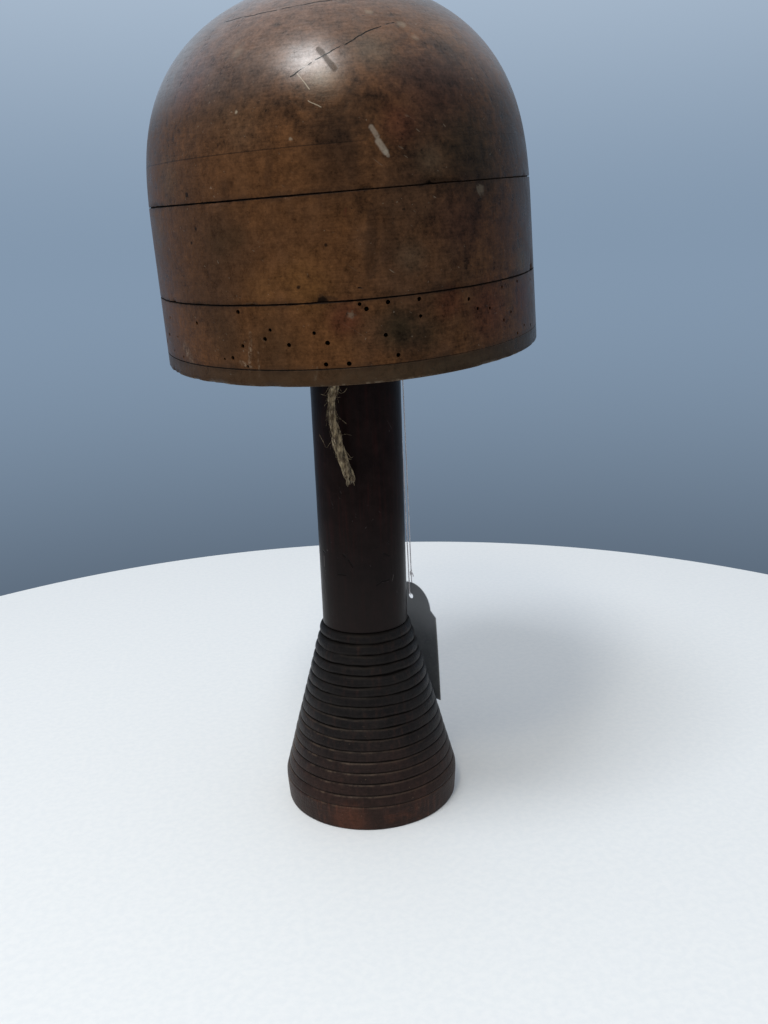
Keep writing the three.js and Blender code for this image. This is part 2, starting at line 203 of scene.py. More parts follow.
class Wire:
    """One value on its way through a finish. Sums and products of wires add Math nodes."""

    def __init__(self, tree, socket):
        self.tree = tree
        self.socket = socket

    def node(self, kind, settings=None, sockets=None, output=0):
        made = self.tree.nodes.new("ShaderNode" + kind)
        for name, value in (settings or {}).items():
            setattr(made, name, value)
        for name, value in (sockets or {}).items():
            if isinstance(value, Wire):
                self.tree.links.new(value.socket, made.inputs[name])
            else:
                made.inputs[name].default_value = value
        return Wire(self.tree, made.outputs[output])

    def maths(self, operation, *values):
        return self.node("Math", {"operation": operation}, dict(enumerate(values)))

    def __add__(self, other):
        return self.maths("ADD", self, other)

    def __sub__(self, other):
        return self.maths("SUBTRACT", self, other)

    def __rsub__(self, other):
        return self.maths("SUBTRACT", other, self)

    def __mul__(self, other):
        return self.maths("MULTIPLY", self, other)

    def __truediv__(self, other):
        return self.maths("DIVIDE", self, other)

    def __pow__(self, other):
        return self.maths("POWER", self, other)

    __radd__ = __add__
    __rmul__ = __mul__

    def most(self, other):
        return self.maths("MAXIMUM", self, other)

    def size(self):
        return self.maths("ABSOLUTE", self)

    def between(self, low, high):
        """0 below low, 1 above high, eased between them; low may be the larger."""
        settings = {"interpolation_type": "SMOOTHSTEP"}
        return self.node("MapRange", settings, {"Value": self, "From Min": low, "From Max": high})

    def blend(self, low, high):
        """From colour low where this is 0 to colour high where it is 1."""
        return self.node("Mix", {"data_type": "RGBA"}, {0: self, 6: low, 7: high}, output=2)

    def tint(self, colour, strength):
        """This colour multiplied by another one, as far as strength says."""
        settings = {"data_type": "RGBA", "blend_type": "MULTIPLY"}
        return self.node("Mix", settings, {0: strength, 6: self, 7: colour}, output=2)

    def shaded(self, by):
        """This colour, or direction, made longer or shorter by a factor."""
        return self.node("VectorMath", {"operation": "SCALE"}, {0: self, "Scale": by})

    def vector(self, operation, other, output=0):
        return self.node("VectorMath", {"operation": operation}, {0: self, 1: other}, output)

    def stretched(self, x, y, z):
        return self.vector("MULTIPLY", (x, y, z))

    def near(self, point, reach):
        """The distance to a point as a share of a reach, both in millimetres."""
        return self.vector("DISTANCE", Vector(point) * MM, output=1) / (reach * MM)

    def grain(self, scale, detail=3.0, rough=0.55):
        sockets = {"Vector": self, "Scale": scale, "Detail": detail, "Roughness": rough}
        return self.node("TexNoise", None, sockets)

    def axis(self, index):
        return self.node("SeparateXYZ", None, {0: self}, output=index)

    def in_mm(self, index):
        return self.axis(index) / MM

    def clamped(self):
        return self.node("Clamp", None, {"Value": self, "Min": 0.0, "Max": 1.0})

    def before(self, move):
        """The place on a piece as it was before the piece was moved to where it stands."""
        turn = tuple(move.to_euler("XYZ"))
        sockets = {"Vector": self, "Location": move.translation, "Rotation": turn}
        return self.node("Mapping", {"vector_type": "TEXTURE"}, sockets)

    def painted(self, name):
        """A value that was painted on the piece's corners."""
        return self.node("Attribute", {"attribute_name": name}, output=2)


def colour(red, green, blue):
    """A colour as a picture holds it, 0 to 255, as the linear value that a shader takes."""
    parts = [value / 255 for value in (red, green, blue)]
    linear = [p / 12.92 if p <= 0.04045 else ((p + 0.055) / 1.055) ** 2.4 for p in parts]
    return (*linear, 1.0)


def new_finish(name):
    """A material, its shader and the place on the piece."""
    material = bpy.data.materials.new(name)
    material.use_nodes = True
    tree = material.node_tree
    place = tree.nodes.new("ShaderNodeTexCoord").outputs["Object"]
    return material, tree.nodes["Principled BSDF"], Wire(tree, place)


def feed(shader, wires):
    for name, wire in wires.items():
        wire.tree.links.new(wire.socket, shader.inputs[name])


def bump(height, depth):
    return height.node("Bump", None, {"Height": height, "Distance": depth * MM})


def warm_gloss(shader, level):
    """The low, warm gloss of old stain, polish and wax."""
    shader.inputs["Specular IOR Level"].default_value = level
    shader.inputs["Specular Tint"].default_value = WARM_GLOSS


STAIN_DARK = colour(18, 15, 16)
STAIN_GREY = colour(25, 23, 23)
RED_WOOD = colour(40, 27, 24)
RED_WORN = colour(84, 48, 34)
GLINT_AND_NICK_PALE = colour(112, 94, 78)
GROOVE_SHADE_AND_DENT_DIRT = colour(7, 5, 5)
WARM_GLOSS = (1.0, 0.9, 0.78, 1.0)
WORN_AT = (-18.5, -39.5, 4.5)
WORN_REACH = 13


def foot_finish():
    material, shader, place = new_finish("stained_foot")
    height = place.in_mm(2)
    share = (FOOT_H - height) / (FOOT_H - BAND_H)
    streaks = place.stretched(1, 1, 0.12).grain(420, 5, 0.6)
    patches = place.grain(46, 5, 0.6)
    fine = place.grain(700, 4, 0.65)
    flecks = place.grain(800, 2, 0.7)
    turned = place.stretched(0.05, 0.05, 1).grain(1500, 3, 0.6)
    band = height.between(BAND_H + 0.5, BAND_H - 0.5)
    rubbed = (share * 1.3 - 0.5 + (patches - 0.5) * 1.2 + band * 0.15).between(0.1, 1.0)
    wood = patches.between(0.35, 0.7).blend(STAIN_DARK, STAIN_GREY)
    wood = rubbed.blend(wood, RED_WOOD)
    wood = (streaks.between(0.5, 0.75) * (band * 0.35 + 0.1)).blend(wood, RED_WORN)
    worn = place.near(WORN_AT, WORN_REACH) + (streaks - 0.5) * 1.1 + (patches - 0.5) * 0.6
    wood = (worn.between(1.0, 0.2) * 0.5).blend(wood, RED_WORN)
    bare = place.stretched(1, 1, 1.6).grain(70, 4, 0.6)
    wood = (bare.between(0.56, 0.72) * band * 0.4).blend(wood, RED_WORN)
    wood = wood.shaded(1 + (fine - 0.5) * 1.3 + (turned - 0.5) * 0.9 + (streaks - 0.5) * 0.7)
    # Painted highlight: a pale line along each rib's upper arris, stronger towards the left.
    edge = place.painted("arris") * share.between(0.3, 0.85)
    edge = edge * (place.in_mm(0).between(15, -25) * 0.7 + 0.3)
    edge = edge * place.stretched(1, 1, 0.3).grain(70, 5, 0.75).between(0.42, 0.6)
    wood = (edge * 0.5).blend(wood, GLINT_AND_NICK_PALE)
    # Painted shade: the grooves darken the deeper a place lies in them.
    sunk = place.painted("groove")
    wood = (sunk * 0.94).blend(wood, GROOVE_SHADE_AND_DENT_DIRT)
    wood = (flecks.between(0.69, 0.76) * share.between(0.2, 1.0) * 0.45).blend(wood, GLINT_AND_NICK_PALE)
    relief = streaks * 0.3 + fine * 0.45 + patches * 0.3 + turned * 0.25 + flecks * 0.15
    feed(shader, {
        "Base Color": wood,
        "Roughness": patches * 0.25 + fine * 0.15 + sunk * 0.3 + 0.24,
        "Normal": bump(relief, 0.4),
    })
    warm_gloss(shader, 0.12)
    return material


foot.data.materials.append(foot_finish())
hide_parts("foot")
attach(foot, "stand")

# The column is a plain turned post, tenoned into the foot and bored at its top for the peg.
# Its near-black polish has gone thin towards red, and it carries fine scratches.
COLUMN_TOP = 227.58
COLUMN_LOW_R = 21.2
COLUMN_TOP_R = 21.5
COLUMN_EDGE = 0.5
COLUMN_RINGS = 24
TENON_R = 13.0
TENON_L = 30.0
BORE_R = 9.08
BORE_DEEP = 30.0

column_profile = [(0, FOOT_H - TENON_L), (TENON_R, FOOT_H - TENON_L), (TENON_R, FOOT_H)]
column_profile += [(COLUMN_LOW_R - COLUMN_EDGE, FOOT_H), (COLUMN_LOW_R, FOOT_H + COLUMN_EDGE)]
for i in range(1, COLUMN_RINGS + 1):
    column_share = i / COLUMN_RINGS
    column_radius = COLUMN_LOW_R + (COLUMN_TOP_R - COLUMN_LOW_R) * column_share
    column_radius += turner.uniform(-0.03, 0.03) if i < COLUMN_RINGS else 0
    column_rise = (COLUMN_TOP - FOOT_H - 2 * COLUMN_EDGE) * column_share
    column_profile.append((column_radius, FOOT_H + COLUMN_EDGE + column_rise))
column_profile += [(COLUMN_TOP_R - COLUMN_EDGE, COLUMN_TOP), (BORE_R, COLUMN_TOP)]
column_profile += [(BORE_R, COLUMN_TOP - BORE_DEEP), (0, COLUMN_TOP - BORE_DEEP)]
column = turned_piece("column_turned", column_profile)

POLISH_BLACK = colour(23, 16, 16)
POLISH_BROWN = colour(29, 20, 19)
POLISH_RED = colour(40, 17, 16)
POLISH_FLOOR_REFLECTION = colour(36, 33, 33)
SCUFF_AND_SHEEN_PALE = colour(96, 90, 88)
# Scuffs, as start, end, half width and strength. The upright rows along the left edge, near x =
# -20, are a painted sheen where that edge catches the light.
COLUMN_SCUFFS_AND_SHEEN = [
    ((-1.2, -21.3, 145.7), (2.6, -21.1, 149.6), 0.2, 0.5),
    ((12.0, -17.6, 120.3), (11.3, -18.1, 117.4), 0.28, 0.7),
    ((-19.6, -8.4, 134.2), (-18.4, -10.7, 133.2), 0.55, 0.5),
    ((-20.0, -7.4, 129.4), (-20.0, -7.3, 124.6), 0.55, 0.6),
    ((-19.7, -8.1, 122.4), (-19.7, -8.0, 118.6), 0.5, 0.55),
    ((-20.3, -6.6, 117.0), (-19.9, -7.6, 107.0), 0.5, 0.3),
    ((5.7, -20.5, 117.9), (9.4, -19.1, 117.6), 0.16, 0.35),
    ((13.0, -16.9, 139.5), (18.0, -11.4, 139.0), 0.16, 0.3),
    ((13.7, -16.3, 111.8), (13.8, -16.2, 110.8), 0.4, 0.4),
    ((10.1, -18.7, 136.4), (3.3, -21.0, 134.7), 0.14, 0.3),
]
COLUMN_DENTS = [
    ((-11.8, -17.8, 132.6), (-11.0, -18.2, 131.8), 0.7),
    ((-9.4, -19.1, 130.1), (-7.9, -19.8, 126.9), 0.6),
    ((-14.4, -15.7, 122.6), (-11.1, -18.2, 122.6), 0.5),
    ((7.3, -20.0, 132.2), (9.9, -18.9, 130.4), 0.6),
    ((5.7, -20.5, 118.5), (9.4, -19.1, 118.5), 0.5),
    ((3.0, -21.1, 117.0), (5.6, -20.5, 118.2), 0.4),
    ((-20.1, -7.1, 132.1), (-19.6, -8.2, 131.6), 0.6),
    ((10.1, -18.7, 137.2), (3.3, -21.0, 135.5), 0.3),
]


def stroke(place, start, end, half_width):
    """1 within half a width of the straight line between two places, in millimetres."""
    first, run = Vector(start) * MM, (Vector(end) - Vector(start)) * MM
    from_first = place.vector("SUBTRACT", first)
    share = (from_first.vector("DOT_PRODUCT", run, output=1) / run.length_squared).clamped()
    reached = share.node("VectorMath", {"operation": "SCALE"}, {0: run, "Scale": share})
    away = from_first.vector("DISTANCE", reached, output=1)
    return away.between(half_width * MM, half_width * MM * 0.4)


def shaken(place, scale, reach):
    """The place moved about by a noise, so that a stroke on it wavers."""
    sockets = {"Vector": place, "Scale": scale, "Detail": 3.0}
    cloud = place.node("TexNoise", None, sockets, output=1)
    return cloud.vector("SUBTRACT", (0.5, 0.5, 0.5)).shaded(2 * reach * MM).vector("ADD", place)


def scratches(place, turn, fine, shift):
    """Thin strokes in one direction, here and there."""
    sockets = {"Vector": place, "Rotation": turn, "Location": shift}
    turned = place.node("Mapping", {"vector_type": "POINT"}, sockets)
    return turned.stretched(fine, fine, 18).grain(1, 1, 0.5).between(0.74, 0.8)


def column_finish():
    material, shader, place = new_finish("black_polish")
    patches = place.grain(34, 5, 0.6)
    mottle = place.grain(180, 5, 0.65)
    fibres = place.stretched(1, 1, 0.06).grain(520, 4, 0.6)
    wood = patches.between(0.35, 0.7).blend(POLISH_BLACK, POLISH_BROWN)
    wood = ((fibres.between(0.45, 0.7) * 0.5) * patches.between(0.4, 0.6)).blend(wood, POLISH_RED)
    wood = wood.shaded(1 + (mottle - 0.5) * 1.2 + (fibres - 0.5) * 0.6)
    marks = scratches(place, (0.5, 0.2, 0.0), 900, (0.1, 0.0, 0.0))
    marks = marks.most(scratches(place, (-0.4, 0.5, 0.3), 1100, (0.0, 0.3, 0.0)))
    marks = marks * place.grain(60, 2).between(0.5, 0.62)
    wood = (marks * 0.3).blend(wood, SCUFF_AND_SHEEN_PALE)
    wavering = shaken(place, 300.0, 0.35)
    # Scuffs, and the painted sheen along the left edge.
    for start, end, half, strength in COLUMN_SCUFFS_AND_SHEEN:
        scuff_and_sheen = stroke(wavering, start, end, half) * mottle.between(0.36, 0.5)
        wood = (scuff_and_sheen * strength).blend(wood, SCUFF_AND_SHEEN_PALE)
    hollow = reduce(Wire.most, [stroke(wavering, *dent) for dent in COLUMN_DENTS])
    wood = (hollow * 0.75).blend(wood, GROOVE_SHADE_AND_DENT_DIRT)
    # Painted reflection: the lower part of the column is blended to a paler grey, as the pale floor
    # would show in its polish.
    floor_reflection = place.in_mm(2).between(FOOT_H + 75, FOOT_H + 8) * (patches * 0.6 + 0.4)
    relief = fibres * 0.4 + patches * 0.8 + mottle * 0.3 - marks * 0.4 - hollow * 1.5
    feed(shader, {
        "Base Color": (floor_reflection * 0.75).blend(wood, POLISH_FLOOR_REFLECTION),
        "Roughness": patches * 0.2 + fibres * 0.12 + mottle * 0.1 + marks * 0.2 + 0.12,
        "Normal": bump(relief, 0.22),
    })
    warm_gloss(shader, 0.05)
    return material


column.data.materials.append(column_finish())
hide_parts("column")
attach(column, "stand")

# The peg is a loose dowel of bare wood. It stands in the column's bore and goes up into the
# socket of the block, which is bored so wide that the block leans on it.
PEG_R = 9.0
PEG_EASE = 1.0
PEG_LOW = COLUMN_TOP - 30.0
PEG_TIP = COLUMN_TOP + 28.0
peg_profile = [(0, PEG_LOW), (PEG_R - PEG_EASE, PEG_LOW)]
peg_profile += [(PEG_R - PEG_EASE / 3, PEG_LOW + PEG_EASE / 3), (PEG_R, PEG_LOW + PEG_EASE)]
peg_profile += [(PEG_R, PEG_TIP - PEG_EASE), (PEG_R - PEG_EASE / 3, PEG_TIP - PEG_EASE / 3)]
peg_profile += [(PEG_R - PEG_EASE, PEG_TIP), (0, PEG_TIP)]
peg = turned_piece("peg_dowel", peg_profile)

PEG_PALE = colour(176, 138, 92)
PEG_RUBBED = colour(122, 86, 54)
PEG_HANDLED = colour(150, 130, 110)


def peg_finish():
    material, shader, place = new_finish("bare_dowel")
    fibres = place.stretched(1, 1, 0.05).grain(700, 5, 0.6)
    handled = place.grain(70, 4, 0.6)
    wood = fibres.between(0.35, 0.7).blend(PEG_PALE, PEG_RUBBED)
    feed(shader, {
        "Base Color": wood.tint(PEG_HANDLED, handled.between(0.4, 0.7)),
        "Roughness": fibres * 0.2 + handled * 0.2 + 0.4,
        "Normal": bump(fibres, 0.2),
    })
    return material


peg.data.materials.append(peg_finish())
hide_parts("peg")
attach(peg, "peg")

# The block is four boards of close brown fruitwood, glued flat on each other and carved to a
# head oval with a domed crown. Two of its joints have dried open, and it leans on its peg.
BLOCK_HALF_W = 83.9
BLOCK_HALF_D = 102.7
BLOCK_H = 150.0
PLAN_POWER = 1.95
TAPER = 0.0254
DOME_SPRING = 51.4
DOME_POWER = 3.16
DOME_ROOT = 1.903
LOWER_TOP = 30.5
MIDDLE_TOP = 67.7
CROWN_BOARD_TOP = 83.5
OPEN_JOINT = 0.3
BOARD_STEPS = 320
LEAST_HALF = 0.4
BLOCK_FLOOR = 229.64
BLOCK_SHIFT = -1.0
LEAN_FORWARD = math.radians(3.72)
LEAN_LEFT = math.radians(3.26)
block_turn = Matrix.Rotation(LEAN_FORWARD, 4, "X") @ Matrix.Rotation(-LEAN_LEFT, 4, "Y")
block_place = Matrix.Translation((BLOCK_SHIFT * MM, 0, BLOCK_FLOOR * MM)) @ block_turn


def plan_scale(height):
    climb = min(max((height - DOME_SPRING) / (BLOCK_H - DOME_SPRING), 0), 1)
    return (1 - TAPER * height / BLOCK_H) * (1 - climb ** DOME_POWER) ** (1 / DOME_ROOT)


def board_piece(name, rings):
    """Draws an oval up through rings of (height, inset), in millimetres from the underside."""
    clear_selection()
    bpy.ops.mesh.primitive_circle_add(vertices=BOARD_STEPS, radius=1, fill_type="NGON")
    piece = bpy.context.object
    piece.name = piece.data.name = name
    bpy.ops.object.mode_set(mode="EDIT")
    height, half_w, half_d = 0, 1, 1
    for index, (next_height, inset) in enumerate(rings):
        scale = plan_scale(next_height)
        next_w = max(BLOCK_HALF_W * scale - inset, LEAST_HALF) * MM
        next_d = max(BLOCK_HALF_D * scale - inset, LEAST_HALF) * MM
        rise = (0, 0, (next_height - height) * MM)
        if index:
            bpy.ops.mesh.extrude_region_move(TRANSFORM_OT_translate={"value": rise})
        else:
            bpy.ops.transform.translate(value=rise)
        bpy.ops.transform.resize(value=(next_w / half_w, next_d / half_d, 1))
        height, half_w, half_d = next_height, next_w, next_d
    close_mesh()
    for vertex in piece.data.vertices:
        across, along = vertex.co.x / (BLOCK_HALF_W * MM), vertex.co.y / (BLOCK_HALF_D * MM)
        reach = math.hypot(across, along) or 1
        for index, (part, half) in enumerate(((across, BLOCK_HALF_W), (along, BLOCK_HALF_D))):
            squared = math.copysign(abs(part / reach) ** (2 / PLAN_POWER), part)
            vertex.co[index] = squared * reach * half * MM
    return piece


def carve(piece, cutter):
    """Takes the cutter out of the piece and throws the cutter away."""
    select_only(piece)
    knife = piece.modifiers.new("carve", "BOOLEAN")
    knife.object = cutter
    knife.operation = "DIFFERENCE"
    knife.solver = "EXACT"
    bpy.ops.object.modifier_apply(modifier=knife.name)
    bpy.data.objects.remove(cutter)


def join_pieces(pieces):
    clear_selection()
    for piece in pieces:
        piece.select_set(True)
    bpy.context.view_layer.objects.active = pieces[0]
    bpy.ops.object.join()
    return bpy.context.object


def outward_at(x, y):
    """The way the block's wall faces at a place of its plan."""
    return Vector((x / BLOCK_HALF_W ** 2, y / BLOCK_HALF_D ** 2, 0)).normalized()


def rod(x, y, low, high, radius, sides):
    """An upright round bar between two heights, in millimetres."""
    clear_selection()
    middle = (x * MM, y * MM, (low + high) / 2 * MM)
    bpy.ops.mesh.primitive_cylinder_add(
        vertices=sides, radius=radius * MM, depth=(high - low) * MM, location=middle
    )
    bpy.ops.object.transform_apply()
    return bpy.context.object


# Places on the block are in millimetres in its own frame: across, along, above the underside.
PIN_R = 0.8
PIN_DEEP = 4.0
PIN_PROUD = 1.0
PIN_SIDES = 10
PIN_HOLES = [
    (-52.1, -78.7, 28.0, 1.15), (-68.1, -57.7, 23.1, 1.0), (-41.5, -88.0, 21.3, 0.9),
    (-43.6, -86.4, 18.0, 1.1), (-26.2, -96.8, 19.7, 0.9), (-21.8, -98.5, 15.9, 1.15),
    (-35.4, -92.1, 15.7, 1.1), (-51.9, -79.2, 15.3, 1.05), (-56.1, -74.8, 10.6, 1.15),
    (-59.2, -71.2, 10.0, 0.7), (-51.0, -80.2, 7.6, 0.8), (-23.1, -98.2, 8.1, 1.1),
    (-75.7, -42.5, 8.2, 0.8), (-77.1, -38.4, 16.1, 0.7), (-79.4, -31.1, 9.7, 0.7),
    (-9.3, -101.5, 28.9, 0.9), (-7.0, -101.8, 27.0, 1.1), (1.0, -102.2, 28.7, 1.1),
    (12.8, -100.9, 28.5, 1.05), (12.9, -101.0, 22.4, 0.9), (33.3, -93.2, 25.8, 1.0),
    (37.1, -90.9, 21.7, 0.9), (43.0, -86.9, 20.9, 0.8), (54.4, -76.6, 17.2, 0.8),
    (50.1, -81.0, 15.0, 0.9), (49.8, -80.9, 27.7, 0.8), (59.1, -70.9, 28.3, 0.8),
    (69.9, -54.4, 26.9, 0.8), (-0.8, -102.4, 17.1, 1.0), (3.3, -102.5, 9.4, 1.05),
    (-14.9, -100.8, 7.9, 1.15), (62.8, -66.4, 10.0, 0.8), (68.5, -57.6, 8.6, 0.8),
    (58.0, -72.8, 8.1, 0.8),
]
RUBBED_PINS = 46
RUBBED_PAST = 0.35
RUBBED_HEIGHTS = (8.5, 28.5)
RUBBED_SIZES = (0.7, 1.1)
rubber = random.Random(23)


def pin_cutter():
    """The pin holes that the photographed side shows, and their like round the rest of the rim."""
    holes = list(PIN_HOLES)
    for _ in range(RUBBED_PINS):
        angle = rubber.uniform(-RUBBED_PAST, math.pi + RUBBED_PAST)
        height = rubber.uniform(*RUBBED_HEIGHTS)
        scale = plan_scale(height)
        x, y = BLOCK_HALF_W * scale * math.cos(angle), BLOCK_HALF_D * scale * math.sin(angle)
        holes.append((x, y, height, rubber.uniform(*RUBBED_SIZES)))
    pins = []
    for x, y, height, size in holes:
        aim = outward_at(x, y).to_track_quat("Z", "Y").to_matrix().to_4x4()
        pin = rod(0, 0, -PIN_DEEP, PIN_PROUD, PIN_R * size, PIN_SIDES)
        pin.matrix_world = Matrix.Translation(Vector((x, y, height)) * MM) @ aim
        select_only(pin)
        bpy.ops.object.transform_apply()
        pins.append(pin)
    return join_pieces(pins)


LOWER_EASE = 0.5
JOINT_EASE = 0.2
CORE_INSET = 0.8
STRING_LINE_H = 6.35
STRING_HALF = 0.3
STRING_DEEP = 0.22
SOCKET_X = -0.2
SOCKET_Y = 0.95
SOCKET_R = 10.62
SOCKET_H = 34.0
SOCKET_SIDES = 64
LOWER_SEAM = LOWER_TOP - OPEN_JOINT
MIDDLE_SEAM = MIDDLE_TOP - OPEN_JOINT
HAIRLINE = 0.02
LOWER_ROWS = (2.2, 3.6, 4.9)
MIDDLE_ROWS = (1.2, 2.4)
CROWN_ROWS = (1.2, 2.6)
LOWER_CLEAR = 1.2
MIDDLE_CLEAR = 1.4
SOCKET_CLEAR = 40
CUT_PAST = 2


def eased_top(height):
    """A board's top arris, and the glued core of the open joint above it, set in from the wall."""
    core = [(height, CORE_INSET), (height + OPEN_JOINT - HAIRLINE, CORE_INSET)]
    return [(height - JOINT_EASE, 0), (height, JOINT_EASE)] + core


def eased_foot(height, rows):
    """A board's lower arris, and rings at heights above it, for the chips."""
    return [(height, JOINT_EASE), (height + JOINT_EASE, 0)] + [(height + row, 0) for row in rows]


def wall_rings(low, high, gap=4.0):
    count = max(2, round((high - low) / gap))
    return [(low + (high - low) * i / count, 0) for i in range(1, count)]


def chipped(piece, edge, reach, depth, seed, keep=0.12):
    """Wears the arris at a height: uneven chips along it, deepest where the noise peaks."""
    for vertex in piece.data.vertices:
        near = 1 - abs(vertex.co.z / MM - edge) / reach
        flat = math.hypot(vertex.co.x, vertex.co.y)
        if near <= 0 or flat < SOCKET_CLEAR * MM:
            continue
        spot = Vector((vertex.co.x, vertex.co.y, seed * 0.01))
        bite = max(noise.noise(spot * 90) + noise.noise(spot * 310) * 0.6 - keep, 0)
        pull = min(bite * 2.2, 1.0) * near * depth * MM
        vertex.co.x -= vertex.co.x / flat * pull
        vertex.co.y -= vertex.co.y / flat * pull


lower_rings = [(0, LOWER_EASE), (LOWER_EASE * 0.3, LOWER_EASE * 0.35), (LOWER_EASE, 0)]
lower_rings += [(height, 0) for height in (*LOWER_ROWS, STRING_LINE_H - STRING_HALF)]
lower_rings += [(STRING_LINE_H, STRING_DEEP), (STRING_LINE_H + STRING_HALF, 0)]
lower_rings += wall_rings(STRING_LINE_H + STRING_HALF, LOWER_SEAM - LOWER_CLEAR, 3)
lower_rings += [(LOWER_SEAM - LOWER_CLEAR, 0)] + eased_top(LOWER_SEAM)
lower_board = board_piece("board_lower", lower_rings)
chipped(lower_board, 0, reach=1.8, depth=0.9, seed=3)
chipped(lower_board, LOWER_SEAM, reach=1.2, depth=0.6, seed=5, keep=0.3)

middle_rings = eased_foot(LOWER_TOP, MIDDLE_ROWS)
middle_rings += wall_rings(LOWER_TOP + MIDDLE_ROWS[-1], MIDDLE_SEAM - MIDDLE_CLEAR)
middle_rings += [(MIDDLE_SEAM - MIDDLE_CLEAR, 0)] + eased_top(MIDDLE_SEAM)
middle_board = board_piece("board_middle", middle_rings)
chipped(middle_board, LOWER_TOP, reach=1.4, depth=0.7, seed=8, keep=0.25)
chipped(middle_board, MIDDLE_SEAM, reach=1.2, depth=0.6, seed=11, keep=0.3)

crown_rings = eased_foot(MIDDLE_TOP, CROWN_ROWS)
crown_rings += wall_rings(MIDDLE_TOP + CROWN_ROWS[-1], CROWN_BOARD_TOP - HAIRLINE, 3)
crown_rings.append((CROWN_BOARD_TOP - HAIRLINE, 0))
crown_board = board_piece("board_crown", crown_rings)
chipped(crown_board, MIDDLE_TOP, reach=1.4, depth=0.7, seed=14, keep=0.25)

CAP_RINGS = 56
cap_rings = []
cap_start = math.asin((CROWN_BOARD_TOP - DOME_SPRING) / (BLOCK_H - DOME_SPRING))
for i in range(CAP_RINGS + 1):
    cap_angle = cap_start + (math.pi / 2 - cap_start) * i / CAP_RINGS
    cap_rings.append((DOME_SPRING + (BLOCK_H - DOME_SPRING) * math.sin(cap_angle), 0))
cap = board_piece("cap_crown", cap_rings)

CHIPS = [
    (middle_board, (-22.2, -98.1, LOWER_TOP), 3.4, 1.3),
    (crown_board, (20.0, -98.1, MIDDLE_TOP), 2.6, 1.1),
    (middle_board, (71.2, -51.6, LOWER_TOP), 3.0, 1.4),
]
for board, centre, reach, depth in CHIPS:
    for vertex in board.data.vertices:
        away = (vertex.co / MM - Vector(centre)).length / reach
        if away < 1:
            out = outward_at(vertex.co.x / MM, vertex.co.y / MM)
            vertex.co -= out * depth * (1 - away ** 2) * MM

carve(lower_board, pin_cutter())
carve(lower_board, rod(SOCKET_X, SOCKET_Y, -CUT_PAST, SOCKET_H, SOCKET_R, SOCKET_SIDES))
carve(middle_board, rod(SOCKET_X, SOCKET_Y, LOWER_TOP - 3, SOCKET_H, SOCKET_R, SOCKET_SIDES))
for board in (lower_board, middle_board, crown_board, cap):
    board.data.transform(block_place)
    select_only(board)
    bpy.ops.object.shade_smooth_by_angle(angle=SMOOTH_BELOW)

WAX_BROWN = colour(67, 46, 31)
DARK_WAX_AND_SHADE = colour(36, 25, 18)
WAX_ORANGE = colour(81, 52, 29)
WAX_GOLD = colour(90, 60, 31)
WAX_OLIVE = colour(36, 30, 20)
WAX_RED = colour(74, 38, 26)
WAX_PURPLE = colour(44, 28, 24)
WAX_GREY = colour(74, 65, 52)
PAINTED_ROSE_SHEEN = colour(92, 66, 54)
DARK_MARK_AND_RECESS_SHADE = colour(9, 6, 5)
DUST = colour(142, 130, 112)
CHALK = colour(136, 126, 113)
DENT_GREY = colour(50, 42, 36)
BARE_PALE = colour(104, 78, 52)
BARE_DARK = colour(72, 52, 36)
